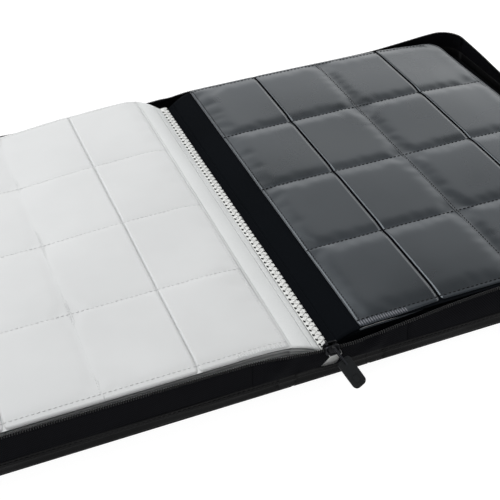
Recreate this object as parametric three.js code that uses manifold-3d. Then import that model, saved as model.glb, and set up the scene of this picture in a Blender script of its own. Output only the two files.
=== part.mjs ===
// A zip-around binder for trading cards, lying open, with a stack of sixteen-pocket leaves on each side.
// Millimetres, +Z up. The origin is the centre of the spine's underside, +X runs across the open
// binder to the right-hand cover and -Y is the edge nearest the reader, where the slider is parked.

import * as THREE from 'three';
import { mergeVertices } from 'three/addons/utils/BufferGeometryUtils.js';
import Module from 'manifold-3d';

const wasm = await Module();
wasm.setup();

// ---- Driving dimensions ----
const GAP = 0.3; // clearance between pieces that touch on the real binder

const SPINE_WIDTH = 58; // between the two fold lines
const COVER_WIDTH = 294; // fold line to fore-edge
const COVER_HEIGHT = 394;
const COVER_CORNER = 22;

const SKIN = 0.8; // outer leatherette
const BOARD = 2.0; // stiffener inside each cover
const LINING = 0.5;

const BAND_TOP = 11; // leatherette band that the zip tape is sewn to
const BAND = 1.2;
const TAPE_TOP = 25.5;
const TAPE = 0.9;
const COIL = 2.4; // across the coil of teeth
const COIL_TOP = 28.2;

const LEAF_COUNT = 10; // leaves on each side, twenty in all
const LEAF_PITCH = 2.3;
const LEAF = 2.0;
const LEAF_INNER = 25; // where the flat, pocketed part of a leaf starts
const LEAF_OUTER = 296;
const LEAF_HEIGHT = 372;
const LEAF_CORNER = 18;

const POCKET_PITCH = 66.5; // four card pockets across
const POCKET_START = 27;
const POCKET_ROWS_HEIGHT = 366; // four card pockets of 91.5 up the leaf
const MOUTH = 2; // gap between two film strips, where cards go in
const TOP_BACKING = 1.3;
const FILM = 0.5;

const BLOCK_WIDTH = 6; // the bound edges of all leaves
const BLOCK_TOP = 15.5;
const BINDING_TAPE_WIDTH = 7.4;
const BINDING_TAPE = 0.8;
const THREAD = 0.5;
const ZIGZAG_STEP = 5;

const ARC_STEPS = 6; // facets on a rounded corner

// ---- Heights and edges worked out from them ----
const foldX = SPINE_WIDTH / 2;
const outerX = foldX + COVER_WIDTH;
const outerY = COVER_HEIGHT / 2;
const boardBottom = SKIN + GAP;
const boardTop = boardBottom + BOARD;
const liningBottom = boardTop + GAP;
const liningTop = liningBottom + LINING;
const stackBottom = liningTop + GAP;
const wallMiddleY = outerY - BAND / 2; // the zip stands on the middle of the band
const zipTurnZ = SPINE_WIDTH / 2; // where the two zip halves meet when the binder is shut

// ---- Materials ----
const finish = (color, roughness, metalness = 0) =>
  new THREE.MeshStandardMaterial({ color, roughness, metalness });
const leatherette = finish(0x1c1c1e, 0.6);
const liningCloth = finish(0x26262a, 0.9);
const greyBoard = finish(0x8d877c, 0.95);
const wovenTape = finish(0x202023, 0.85);
const nylonCoil = finish(0x101012, 0.45);
const whiteSheet = finish(0xdcdddf, 0.7);
const blackSheet = finish(0x1a1a1c, 0.7);
const clearFilm = finish(0x6f7174, 0.2);
const bindingCore = finish(0x2c2c30, 0.9);
const bindingWeb = finish(0xe2e2e0, 0.8);
const whiteThread = finish(0xf2f2f0, 0.7);
const zipMetal = finish(0x2b2c2f, 0.35, 0.9);
const rubber = finish(0x3a3b3d, 0.8);

// ---- Geometry helpers ----
const binder = new THREE.Group();

function place(name, geometry, material, parent = binder) {
  const mesh = new THREE.Mesh(geometry, material);
  mesh.name = name;
  parent.add(mesh);
  return mesh;
}

function extrudeUp(shape, bottom, top) {
  const settings = { depth: top - bottom, bevelEnabled: false, curveSegments: ARC_STEPS };
  return new THREE.ExtrudeGeometry(shape, settings).translate(0, 0, bottom);
}

function box(x0, x1, y0, y1, z0, z1) {
  const geometry = new THREE.BoxGeometry(x1 - x0, y1 - y0, z1 - z0);
  return geometry.translate((x0 + x1) / 2, (y0 + y1) / 2, (z0 + z1) / 2);
}

// A panel from x = inner to x = outer with its two outer corners rounded; side is -1 or 1.
function panelShape(side, inner, outer, halfHeight, corner) {
  const shape = new THREE.Shape();
  const turn = side < 0;
  shape.moveTo(side * inner, -halfHeight);
  shape.lineTo(side * (outer - corner), -halfHeight);
  const middleX = side * (outer - corner);
  const middleY = halfHeight - corner;
  const outward = turn ? Math.PI : 0;
  shape.absarc(middleX, -middleY, corner, -Math.PI / 2, turn ? -Math.PI : 0, turn);
  shape.absarc(middleX, middleY, corner, outward, Math.PI / 2, turn);
  shape.lineTo(side * inner, halfHeight);
  return shape;
}

// A wall of even thickness around three sides of a panel, open towards the spine.
function wallShape(side, inner, outer, halfHeight, corner, thickness) {
  const outside = panelShape(side, inner, outer, halfHeight, corner).getPoints(ARC_STEPS);
  const inside = panelShape(
    side, inner, outer - thickness, halfHeight - thickness, corner - thickness,
  ).getPoints(ARC_STEPS);
  return new THREE.Shape([...outside, ...inside.reverse()]);
}

function toSolid(geometry) {
  const bare = geometry.index ? geometry.clone() : geometry;
  bare.deleteAttribute('normal');
  bare.deleteAttribute('uv');
  const merged = mergeVertices(bare, 1e-4);
  return new wasm.Manifold(new wasm.Mesh({
    numProp: 3,
    vertProperties: new Float32Array(merged.attributes.position.array),
    triVerts: new Uint32Array(merged.index.array),
  }));
}

function toGeometry(solid) {
  const { vertProperties, triVerts } = solid.getMesh();
  const geometry = new THREE.BufferGeometry();
  geometry.setAttribute('position', new THREE.BufferAttribute(vertProperties, 3));
  geometry.setIndex(new THREE.BufferAttribute(triVerts, 1));
  return geometry;
}

// ---- Spine: skin, stiffener, lining and the low band across each end ----
const boardInset = 4.5; // lets the folded cover lie beside the spine's stiffener
const boardMargin = 2.5;

place('spine_skin', box(-foldX + GAP, foldX - GAP, -outerY, outerY, 0, SKIN), leatherette);
const spineBoardX = foldX - boardInset;
const boardY = outerY - boardMargin;
place('spine_board', box(-spineBoardX, spineBoardX, -boardY, boardY, boardBottom, boardTop), greyBoard);
place('spine_lining', box(-spineBoardX, spineBoardX, -boardY, boardY, liningBottom, liningTop), liningCloth);

for (const [end, side] of [['front', -1], ['back', 1]]) {
  const near = side * (outerY - BAND);
  const far = side * outerY;
  const bandX = foldX - boardBottom;
  const bandY = [Math.min(near, far), Math.max(near, far)];
  place(`spine_${end}_band`, box(-bandX, bandX, ...bandY, boardBottom, BAND_TOP), leatherette);
}

// ---- The two ends of the zip tape, drawn together over the spine as a chevron ----
const chevronFoot = 16.5;
const chevronApex = 5;
const chevronTop = 21;
const chevronNotch = { foot: 8, top: 17 };
const chevron = new THREE.Shape([
  [-chevronFoot, BAND_TOP + GAP],
  [-chevronNotch.foot, BAND_TOP + GAP],
  [0, chevronNotch.top],
  [chevronNotch.foot, BAND_TOP + GAP],
  [chevronFoot, BAND_TOP + GAP],
  [chevronApex, chevronTop],
  [-chevronApex, chevronTop],
].map(([x, z]) => new THREE.Vector2(x, z)));

for (const [end, side] of [['front', -1], ['back', 1]]) {
  const geometry = new THREE.ExtrudeGeometry(chevron, { depth: TAPE, bevelEnabled: false });
  geometry.rotateX(Math.PI / 2).translate(0, side * wallMiddleY + TAPE / 2, 0);
  place(`${end}_tape_end`, geometry, wovenTape);
}

// ---- Binding: the sewn edges of the leaves, a woven tape over them and its zigzag stitch ----
const blockY = LEAF_HEIGHT / 2;
const blockX = BLOCK_WIDTH / 2;
place('binding_block', box(-blockX, blockX, -blockY, blockY, stackBottom, BLOCK_TOP), bindingCore);

const bindingTapeBottom = BLOCK_TOP + GAP;
const bindingTapeTop = bindingTapeBottom + BINDING_TAPE;
const tapeX = BINDING_TAPE_WIDTH / 2;
place('binding_tape', box(-tapeX, tapeX, -blockY, blockY, bindingTapeBottom, bindingTapeTop), bindingWeb);

function zigzagShape() {
  const reach = tapeX - 1.6;
  const width = 0.7;
  const steps = Math.floor((LEAF_HEIGHT - 12) / ZIGZAG_STEP);
  const points = [];
  for (let i = 0; i <= steps; i += 1) {
    points.push([i % 2 ? reach : -reach, (i - steps / 2) * ZIGZAG_STEP]);
  }
  const right = points.map(([x, y]) => new THREE.Vector2(x + width, y));
  const left = points.map(([x, y]) => new THREE.Vector2(x - width, y));
  return new THREE.Shape([...right, ...left.reverse()]);
}
const threadBottom = bindingTapeTop + GAP;
place('zigzag_thread', extrudeUp(zigzagShape(), threadBottom, threadBottom + THREAD), whiteThread);

// ---- One cover: skin, stiffener, lining, band, zip tape and coil ----
const coverFold = 1.5; // skin and boards start this far past the fold line
const bandStart = foldX + BAND_TOP + 2 * GAP; // the wall ends form a mitre, closed when the cover folds
const zipStart = foldX + 30.8;

function addCover(name, side) {
  const skin = panelShape(side, foldX + coverFold, outerX, outerY, COVER_CORNER);
  place(`${name}_cover_skin`, extrudeUp(skin, 0, SKIN), leatherette);

  const inset = panelShape(
    side, foldX + coverFold, outerX - boardMargin, outerY - boardMargin, COVER_CORNER - boardMargin,
  );
  place(`${name}_cover_board`, extrudeUp(inset, boardBottom, boardTop), greyBoard);
  place(`${name}_cover_lining`, extrudeUp(inset, liningBottom, liningTop), liningCloth);

  const band = wallShape(side, bandStart, outerX, outerY, COVER_CORNER, BAND);
  place(`${name}_wall_band`, extrudeUp(band, boardBottom, BAND_TOP), leatherette);

  const tapeInset = (BAND - TAPE) / 2;
  const tape = wallShape(
    side, zipStart, outerX - tapeInset, outerY - tapeInset, COVER_CORNER - tapeInset, TAPE,
  );
  place(`${name}_zip_tape`, extrudeUp(tape, BAND_TOP + GAP, TAPE_TOP), wovenTape);

  const coilInset = (BAND - COIL) / 2;
  const coil = wallShape(
    side, zipStart, outerX - coilInset, outerY - coilInset, COVER_CORNER - coilInset, COIL,
  );
  place(`${name}_zip_coil`, extrudeUp(coil, TAPE_TOP + GAP, COIL_TOP), nylonCoil);
}
addCover('left', -1);
addCover('right', 1);

// ---- Leaves: nine plain ones on each side under a top leaf with its film pockets ----
const twoDigits = (number) => String(number).padStart(2, '0');

function addLeaves(name, side, material) {
  const outline = panelShape(side, LEAF_INNER, LEAF_OUTER, LEAF_HEIGHT / 2, LEAF_CORNER);
  for (let i = 0; i < LEAF_COUNT; i += 1) {
    const bottom = stackBottom + i * LEAF_PITCH;
    const isTop = i === LEAF_COUNT - 1;
    const geometry = extrudeUp(outline, bottom, bottom + (isTop ? TOP_BACKING : LEAF));
    place(`${name}_leaf_${twoDigits(i + 1)}`, geometry, material);
  }

  const filmBottom = stackBottom + (LEAF_COUNT - 1) * LEAF_PITCH + TOP_BACKING + GAP;
  const filmY = POCKET_ROWS_HEIGHT / 2;
  const strips = { inner: [0, 1], middle: [1, 3], outer: [3, 4] };
  for (const [strip, [first, last]] of Object.entries(strips)) {
    const near = POCKET_START + first * POCKET_PITCH + (first ? MOUTH / 2 : 0);
    const far = POCKET_START + last * POCKET_PITCH - MOUTH / 2;
    const x = [side * near, side * far].sort((a, b) => a - b);
    const geometry = box(...x, -filmY, filmY, filmBottom, filmBottom + FILM);
    place(`${name}_film_${strip}`, geometry, clearFilm);
  }
}
addLeaves('left', -1, whiteSheet);
addLeaves('right', 1, blackSheet);

// ---- Zip slider: two plates joined by a thin post between the coils, with a bail in front ----
const SLIDER_LENGTH = 11;
const SLIDER_WIDTH = 7.4;
const PLATE = 1.3;
const POST = { length: 4, width: 1 };
const BAIL = { reach: 3.8, span: 7.4, wire: 1.2 };

const zipY = -wallMiddleY;
const plateInner = COIL / 2 + GAP; // from the zip's own plane
const frontPlateFace = zipY - plateInner - PLATE;
const bailY = frontPlateFace - BAIL.reach;

function plateShape() {
  const corner = 2.2;
  const x = SLIDER_LENGTH / 2;
  const z = SLIDER_WIDTH / 2;
  const shape = new THREE.Shape();
  shape.absarc(x - corner, z - corner, corner, 0, Math.PI / 2);
  shape.absarc(corner - x, z - corner, corner, Math.PI / 2, Math.PI);
  shape.absarc(corner - x, corner - z, corner, Math.PI, 1.5 * Math.PI);
  shape.absarc(x - corner, corner - z, corner, 1.5 * Math.PI, 2 * Math.PI);
  return shape;
}

function plateAt(y) {
  const settings = { depth: PLATE, bevelEnabled: false, curveSegments: 4 };
  const geometry = new THREE.ExtrudeGeometry(plateShape(), settings);
  return toSolid(geometry.rotateX(Math.PI / 2).translate(0, y, zipTurnZ));
}

const halfWire = BAIL.wire / 2;
const legX = BAIL.span / 2;
const postY = plateInner + PLATE / 2;
const legs = [-legX, legX].map((x) => toSolid(box(
  x - halfWire, x + halfWire, bailY - halfWire, frontPlateFace + PLATE / 2,
  zipTurnZ - halfWire, zipTurnZ + halfWire,
)));
const bar = toSolid(box(
  -legX - halfWire, legX + halfWire, bailY - halfWire, bailY + halfWire,
  zipTurnZ - halfWire, zipTurnZ + halfWire,
));
const post = toSolid(box(
  -POST.length / 2, POST.length / 2, zipY - postY, zipY + postY,
  zipTurnZ - POST.width / 2, zipTurnZ + POST.width / 2,
));
const slider = plateAt(zipY - plateInner).add(plateAt(zipY + plateInner + PLATE))
  .add(post).add(legs[0]).add(legs[1]).add(bar);
place('zip_slider', toGeometry(slider), zipMetal);

// The clamp that joins the two coils at the slider's parked end
const STOP = { near: 2.6, far: 4.2, half: 1 };
place('zip_stop', box(
  -STOP.far, -STOP.near, zipY - STOP.half, zipY + STOP.half,
  zipTurnZ - STOP.half, zipTurnZ + STOP.half,
), zipMetal);

// ---- Puller: a wire link through the bail and a moulded rubber tab on the link ----
const LINK = { inside: 1.7, wire: 1.1, above: 1.4, below: 11.8 };
const TAB = { width: 10.8, thickness: 2.6, top: -8.8, bottom: -32.5, corner: 3.2 };
const EYE = { half: 1.6, top: -11, bottom: -13.8 };
const LEAN_OUT = THREE.MathUtils.degToRad(32);
const LEAN_SIDE = THREE.MathUtils.degToRad(24);

const puller = new THREE.Group();
puller.position.set(0, bailY, zipTurnZ);
puller.rotation.set(-LEAN_OUT, -LEAN_SIDE, 0, 'XYZ');
binder.add(puller);

function rectangle(x0, x1, y0, y1) {
  return [[x0, y0], [x1, y0], [x1, y1], [x0, y1]].map(([x, y]) => new THREE.Vector2(x, y));
}

function linkGeometry() {
  const { inside, wire, above, below } = LINK;
  const reach = inside + wire;
  const shape = new THREE.Shape(rectangle(-reach, reach, -below - wire, above + wire));
  shape.holes.push(new THREE.Path(rectangle(-inside, inside, -below, above)));
  const geometry = new THREE.ExtrudeGeometry(shape, { depth: wire, bevelEnabled: false });
  geometry.rotateX(Math.PI / 2).rotateZ(Math.PI / 2);
  geometry.computeBoundingBox();
  return geometry.translate(-(geometry.boundingBox.min.x + geometry.boundingBox.max.x) / 2, 0, 0);
}
place('pull_link', linkGeometry(), zipMetal, puller);

function tabGeometry() {
  const { width, thickness, top, bottom, corner } = TAB;
  const half = width / 2;
  const neck = 3.4;
  const shape = new THREE.Shape();
  shape.moveTo(-neck, top);
  shape.lineTo(-half, EYE.top);
  shape.lineTo(-half, bottom + corner);
  shape.absarc(corner - half, bottom + corner, corner, Math.PI, 1.5 * Math.PI);
  shape.absarc(half - corner, bottom + corner, corner, 1.5 * Math.PI, 2 * Math.PI);
  shape.lineTo(half, EYE.top);
  shape.lineTo(neck, top);
  shape.holes.push(new THREE.Path(rectangle(-EYE.half, EYE.half, EYE.bottom, EYE.top)));
  const settings = { depth: thickness, bevelEnabled: false, curveSegments: 4 };
  const geometry = new THREE.ExtrudeGeometry(shape, settings);
  return geometry.rotateX(Math.PI / 2).translate(0, thickness / 2, 0);
}
place('rubber_puller', tabGeometry(), rubber, puller);

export default binder;
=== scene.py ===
# %% [markdown]
# # A trading card binder, open flat
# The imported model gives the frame: every board, leaf, band and joint is already where it belongs. This file
# dresses it. A zip-around binder is a soft thing: leatherette over board, a woven zip tape that sags between
# its corners, thin film pockets that puff over each leaf. All of those are modelled here as surfaces of their
# own, in metres, in the frame's own axes: X across the open binder, Y along the spine, Z up.

# %% Load the frame
import math

import bmesh
import bpy
import numpy as np
from mathutils import Matrix, Vector


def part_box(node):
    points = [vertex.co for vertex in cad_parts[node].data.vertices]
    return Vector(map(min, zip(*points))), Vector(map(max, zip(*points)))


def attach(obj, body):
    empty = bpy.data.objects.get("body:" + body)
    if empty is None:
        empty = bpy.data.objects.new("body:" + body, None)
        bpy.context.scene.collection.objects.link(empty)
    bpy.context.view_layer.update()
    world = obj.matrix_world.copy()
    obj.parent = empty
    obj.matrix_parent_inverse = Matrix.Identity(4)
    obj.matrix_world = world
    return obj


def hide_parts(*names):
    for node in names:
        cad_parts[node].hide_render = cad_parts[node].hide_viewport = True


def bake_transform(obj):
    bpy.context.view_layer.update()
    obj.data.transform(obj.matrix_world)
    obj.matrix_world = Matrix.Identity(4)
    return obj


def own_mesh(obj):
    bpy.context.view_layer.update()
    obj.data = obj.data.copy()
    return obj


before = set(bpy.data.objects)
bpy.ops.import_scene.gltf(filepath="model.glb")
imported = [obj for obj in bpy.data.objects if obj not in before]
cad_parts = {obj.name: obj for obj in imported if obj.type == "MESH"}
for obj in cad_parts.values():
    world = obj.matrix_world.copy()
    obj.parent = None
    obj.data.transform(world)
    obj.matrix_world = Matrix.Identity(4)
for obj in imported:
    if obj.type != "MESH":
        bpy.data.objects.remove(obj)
scene = bpy.context.scene
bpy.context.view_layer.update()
MM = 0.001
SIDES = ((-1, "left"), (1, "right"))


def span(node):
    """The lowest and highest corners of a node of the frame, in millimetres."""
    low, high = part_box(node)
    return np.array(low) / MM, np.array(high) / MM


# %% [markdown]
# ## The driving sizes
# Everything below is worked out from a few places in the frame: the fold lines, the outer edge of the covers,
# the top of the leaves. The pocket grid is the one size that the frame only holds as strips of film, so its
# pitch is measured from the middle strip, which is two pockets wide.

# %% Driving sizes, in millimetres
FOLD_X = -span("spine_skin")[0][0] + 0.3
OUTER_X, OUTER_Y = span("right_cover_skin")[1][:2]
COVER_CORNER = 22.0
ZIP_START_X = span("right_zip_coil")[0][0]
BAND_START_X = span("right_wall_band")[0][0]
LEAF_LOW, LEAF_HIGH = span("right_leaf_10")
PAGE_X0, PAGE_X1, PAGE_Y = LEAF_LOW[0], LEAF_HIGH[0], LEAF_HIGH[1]
PAGE_TOP = LEAF_HIGH[2]
LEAF_CORNER = 18.0
FILM_Y = span("right_film_middle")[1][1]
POCKET_W = (span("right_film_middle")[1][0] - span("right_film_middle")[0][0] + 2) / 2
POCKET_H = 2 * FILM_Y / 4
POCKET_X0 = span("right_film_inner")[0][0]
STRIP_X = span("binding_tape")[1][0]
MOUTH = 2.2  # the gap between two strips of film, where cards go in
FRONT_EDGE, BACK_EDGE = -PAGE_Y - 1.4, PAGE_Y
PAGE_REACH, FILM_REACH = PAGE_X1 + 0.2, PAGE_X1 - 0.8

# The stitched rows stand one pocket apart. The first is sewn in behind a wider hem, the last is close to its
# edge.
ROW_START, FRONT_HEM, BACK_HEM = 4.6, 2.6, 3.0
ROWS = [FRONT_EDGE + ROW_START + i * POCKET_H for i in range(5)]
ROWS[0] += FRONT_HEM
ROWS[4] = BACK_EDGE - BACK_HEM
COLUMNS = [POCKET_X0 + i * POCKET_W for i in range(5)]
print(f"pockets {POCKET_W:.1f} x {POCKET_H:.1f} mm, covers reach {OUTER_X:.0f} mm from the middle")

# %% [markdown]
# ## Helpers for meshes
# A piece is made from lists of points in millimetres and turned into a mesh in metres, so that its object
# stays at the origin with no turn and no scale, as the frame's own nodes do.

# %% Mesh helpers
def new_piece(name, points, faces, material=None):
    """A smooth mesh object from points in millimetres."""
    mesh = bpy.data.meshes.new(name)
    mesh.from_pydata([tuple(float(c) * MM for c in p) for p in points], [], faces)
    mesh.update()
    mesh.shade_smooth()
    obj = bpy.data.objects.new(name, mesh)
    scene.collection.objects.link(obj)
    if material:
        mesh.materials.append(material)
    return obj


def tube_faces(rings, around, closed=True):
    """Faces of a skin through rings of points; a closed one wraps round and has end caps."""
    faces = []
    for i in range(rings - 1):
        for j in range(around if closed else around - 1):
            k = (j + 1) % around
            a, b = i * around, (i + 1) * around
            faces.append((a + j, b + j, b + k, a + k))
    if closed:
        faces.append(tuple(range(around)))
        faces.append(tuple(reversed(range((rings - 1) * around, rings * around))))
    return faces


def grid_faces(rows, wide, first=0):
    """Faces of a sheet through rows of points, the first of which is point number first."""
    corners = [first + i * wide + j for i in range(rows - 1) for j in range(wide - 1)]
    return [(a, a + 1, a + wide + 1, a + wide) for a in corners]


def path_lengths(points):
    """How far along its polyline each point lies."""
    return np.concatenate([[0], np.cumsum(np.linalg.norm(np.diff(points, axis=0), axis=1))])


def blurred(values, blur):
    """Values smoothed over a few places to each side, with their ends held."""
    kernel = np.hanning(2 * blur + 1)
    return np.convolve(np.pad(values, blur, "edge"), kernel / kernel.sum(), "valid")


def bake_modifiers(obj):
    """Turns what the modifiers make into the object's own mesh."""
    bpy.context.view_layer.update()
    graph = bpy.context.evaluated_depsgraph_get()
    mesh = bpy.data.meshes.new_from_object(obj.evaluated_get(graph), depsgraph=graph)
    obj.modifiers.clear()
    old = obj.data
    obj.data = mesh
    mesh.name = obj.name
    if old.users == 0:
        bpy.data.meshes.remove(old)
    return obj


def add_modifier(obj, kind, **settings):
    modifier = obj.modifiers.new(kind.title(), kind)
    for key, value in settings.items():
        setattr(modifier, key, value)
    return modifier


def thicken(obj, thickness, offset=-1.0):
    """Gives a sheet its thickness, in millimetres, and keeps the result as its mesh."""
    add_modifier(obj, "SOLIDIFY", thickness=thickness * MM, offset=offset, use_even_offset=True)
    return bake_modifiers(obj)


def write_uv(obj, coordinates):
    """One UV point for each vertex, in metres, so that a weave keeps its real thread spacing."""
    layer = obj.data.uv_layers.new(name="cloth")
    for loop in obj.data.loops:
        u, v = coordinates[loop.vertex_index]
        layer.data[loop.index].uv = (u * MM, v * MM)


def sweep(name, stations, material, closed=True):
    """A skin through a list of rings. Closed rings make a tube with end caps, open ones a sheet."""
    around = len(stations[0])
    points = [p for ring in stations for p in ring]
    obj = new_piece(name, points, tube_faces(len(stations), around, closed), material)
    rings = np.array(stations, float)
    across = path_lengths(rings[0])
    write_uv(obj, [(u, v) for u in path_lengths(rings.mean(axis=1)) for v in across])
    return face_out(obj) if closed else obj


def face_out(obj):
    """Turns the faces of a closed shell outwards."""
    work = bmesh.new()
    work.from_mesh(obj.data)
    bmesh.ops.recalc_face_normals(work, faces=work.faces)
    work.to_mesh(obj.data)
    work.free()
    return obj


def smoothstep(value, low, high):
    t = np.clip((value - low) / (high - low), 0, 1)
    return t * t * (3 - 2 * t)

# %% [markdown]
# ## The camera
# The binder is seen from in front and above, a little from the left, through a lens of about 77 mm. The
# camera is placed by its turn, tilt and lean, and by where it stands.

# %% Camera
LENS = 76.8
CAMERA_AT = Vector((-0.239, -0.690, 0.5325))
CAMERA_TURN, CAMERA_TILT, CAMERA_LEAN = (math.radians(a) for a in (20.2, 37.5, -2.2))

camera = bpy.data.objects.new("camera", bpy.data.cameras.new("camera"))
scene.collection.objects.link(camera)
camera.data.lens = LENS
camera.data.sensor_width = 36
looking = Vector((
    math.sin(CAMERA_TURN) * math.cos(CAMERA_TILT),
    math.cos(CAMERA_TURN) * math.cos(CAMERA_TILT),
    -math.sin(CAMERA_TILT),
))
level = Vector((math.cos(CAMERA_TURN), -math.sin(CAMERA_TURN), 0))
upright = level.cross(looking)
right = math.cos(CAMERA_LEAN) * level + math.sin(CAMERA_LEAN) * upright
axes = Matrix((right, looking.cross(-right).normalized(), -looking)).transposed()
camera.matrix_world = Matrix.Translation(CAMERA_AT) @ axes.to_4x4()
scene.camera = camera
print("camera looks along", [round(c, 3) for c in looking])

# %% [markdown]
# ## Helpers for materials
# Colours are given as hex values, the way a colour card gives them, and turned to linear light once. One
# function adds a node with its settings and its links. A pattern's scale comes from a real size in
# millimetres: a texture that repeats every 1.2 mm has a scale of 1000 / 1.2 on coordinates in metres.

# %% Material helpers
def linear(hex_colour):
    """An sRGB hex colour as linear RGBA."""
    parts = [int(hex_colour[i:i + 2], 16) / 255 for i in (1, 3, 5)]
    return tuple(c / 12.92 if c <= 0.04045 else ((c + 0.055) / 1.055) ** 2.4 for c in parts) + (1.0,)


def add_node(tree, kind, settings=None, **links):
    """A node with its settings. A link's value is a socket, or a number or colour for the input itself."""
    node = tree.nodes.new(kind)
    for key, value in (settings or {}).items():
        setattr(node, key, value)
    for key, value in links.items():
        index = int(key[1:]) if key[0] == "i" and key[1:].isdigit() else key.replace("_", " ")
        socket = node.inputs[index]
        if isinstance(value, bpy.types.NodeSocket):
            tree.links.new(value, socket)
        else:
            socket.default_value = value
    return node


def per_mm(size):
    """Texture scale for a pattern of that size in millimetres."""
    return 1000.0 / size


RGBA = {"data_type": "RGBA"}
TIMES, PLUS = {"operation": "MULTIPLY"}, {"operation": "ADD"}
WAVE_TURN = 6.283 / 20  # a wave texture of scale 1 repeats every 2 pi / 20 of its coordinate


def start_material(name):
    """A new material, its tree, and the place of each point on the object."""
    material = bpy.data.materials.new(name)
    material.use_nodes = True
    tree = material.node_tree
    tree.nodes.clear()
    return material, tree, add_node(tree, "ShaderNodeTexCoord").outputs["Object"]


def principled(material, **inputs):
    """Ends a material with one Principled shader. The keywords are the shader's inputs."""
    tree = material.node_tree
    shader = add_node(tree, "ShaderNodeBsdfPrincipled", None, **inputs)
    add_node(tree, "ShaderNodeOutputMaterial", None, Surface=shader.outputs[0])
    return material

# %% [markdown]
# ## Leatherette
# The covers are wrapped in artificial leather: polyurethane on a knitted backing, embossed with a fine
# pebble grain. It is nearly black, with a low, broad gloss that catches light on the rims of the pebbles.

# %% Leatherette
def make_leatherette():
    material, tree, where = start_material("leatherette_pebbled_pu")
    pebbles = add_node(tree, "ShaderNodeTexVoronoi", {"feature": "DISTANCE_TO_EDGE"},
                       Vector=where, Scale=per_mm(1.3)).outputs[0]
    grain = add_node(tree, "ShaderNodeMapRange", None, Value=pebbles, From_Max=0.25).outputs[0]
    cloudy = add_node(tree, "ShaderNodeTexNoise", None, Vector=where, Scale=per_mm(40), Detail=4.0).outputs[0]
    tint = add_node(tree, "ShaderNodeMix", RGBA, i0=cloudy, i6=linear("#060607"), i7=linear("#0b0c0d"))
    # The grooves between the pebbles are painted darker than their tops: painted shade.
    colour = add_node(tree, "ShaderNodeMix", RGBA, i0=grain, i6=linear("#040405"), i7=tint.outputs[2])
    gloss = add_node(tree, "ShaderNodeMapRange", None, Value=cloudy, From_Min=0.3, From_Max=0.7, To_Min=0.5,
                     To_Max=0.66)
    pebbled = add_node(tree, "ShaderNodeBump", None, Height=grain, Distance=0.16 * MM, Strength=0.7)
    return principled(material, Base_Color=colour.outputs[2], Roughness=gloss.outputs[0],
                      Specular_IOR_Level=0.12, Normal=pebbled.outputs[0])


leatherette = make_leatherette()

# %% [markdown]
# ## Woven cloths
# The zip tape is a dense polyester twill, the lining a finer plain weave, the binding tape a white
# cotton-like web. All share one weave, two sets of ribs across each other, at their own thread spacing. The
# threads of the tape are really 0.3 mm apart; they are drawn at 1.4 mm, so that the weave still shows from a
# metre away.

# %% Woven cloths
def make_cloth(name, dark, light, thread, depth, on_uv=False, specular=0.12, rough=0.9, angle=0.0):
    """A plain weave with its threads so many millimetres apart, and its ribs that deep."""
    material, tree, where = start_material(name)
    if on_uv:
        where = add_node(tree, "ShaderNodeUVMap", {"uv_map": "cloth"}).outputs[0]
    turned = add_node(tree, "ShaderNodeMapping", None, Vector=where, Rotation=(0, 0, angle)).outputs[0]
    warp, weft = (
        add_node(tree, "ShaderNodeTexWave", {"wave_type": "BANDS", "bands_direction": direction},
                 Vector=turned, Scale=per_mm(thread) * WAVE_TURN, Distortion=0.6, Detail=1.0).outputs[1]
        for direction in "XY")
    threads = add_node(tree, "ShaderNodeMath", TIMES, i0=warp, i1=weft).outputs[0]
    worn = add_node(tree, "ShaderNodeTexNoise", None, Vector=where, Scale=per_mm(thread * 14), Detail=4.0)
    fading = add_node(tree, "ShaderNodeMapRange", None, Value=worn.outputs[0], From_Min=0.25, From_Max=0.75,
                      To_Min=0.75)
    # The gaps between the threads are painted darker than their crowns, painted shade; the worn noise adds
    # random fading.
    shade = add_node(tree, "ShaderNodeMath", TIMES, i0=threads, i1=fading.outputs[0]).outputs[0]
    colour = add_node(tree, "ShaderNodeMix", RGBA, i0=shade, i6=linear(dark), i7=linear(light))
    ribs = add_node(tree, "ShaderNodeBump", None, Height=threads, Distance=depth * MM, Strength=0.8)
    return principled(material, Base_Color=colour.outputs[2], Roughness=rough, Specular_IOR_Level=specular,
                      Normal=ribs.outputs[0])


zip_tape_cloth = make_cloth("zip_tape_polyester_twill", "#020203", "#17181d", 1.4, 0.2, on_uv=True,
                            specular=0.05, angle=math.radians(45))
lining_cloth = make_cloth("lining_polyester_plain_weave", "#060708", "#0f1113", 0.6, 0.08, specular=0.05)
binding_web = make_cloth("binding_tape_white_web", "#dfe0de", "#f4f5f4", 0.8, 0.06, rough=0.8)
binding_core = make_cloth("binding_core_sewn_edges", "#0b0b0d", "#1c1c20", 1.4, 0.2)

# %% [markdown]
# ## Page sheets
# Between the film faces of each leaf lies a divider sheet of spun-bonded polypropylene: tiny fibres pressed
# together, without any gloss. It is white on one face and black on the other, so an open binder shows white
# pockets on the left and black ones on the right.

# %% Page sheets
def make_sheet(name, dark, light, specular):
    material, tree, where = start_material(name)
    fibres = add_node(tree, "ShaderNodeTexNoise", None, Vector=where, Scale=per_mm(1.1), Detail=8.0,
                      Roughness=0.7).outputs[0]
    cloudy = add_node(tree, "ShaderNodeTexNoise", None, Vector=where, Scale=per_mm(60)).outputs[0]
    fine = add_node(tree, "ShaderNodeMath", TIMES, i0=fibres, i1=0.6).outputs[0]
    broad = add_node(tree, "ShaderNodeMath", TIMES, i0=cloudy, i1=0.4).outputs[0]
    both = add_node(tree, "ShaderNodeMath", PLUS, i0=fine, i1=broad).outputs[0]
    shade = add_node(tree, "ShaderNodeMapRange", None, Value=both, From_Min=0.3, From_Max=0.7).outputs[0]
    colour = add_node(tree, "ShaderNodeMix", RGBA, i0=shade, i6=linear(dark), i7=linear(light))
    felt = add_node(tree, "ShaderNodeBump", None, Height=fibres, Distance=0.08 * MM, Strength=0.5)
    return principled(material, Base_Color=colour.outputs[2], Roughness=0.88, Specular_IOR_Level=specular,
                      Normal=felt.outputs[0])


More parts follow.
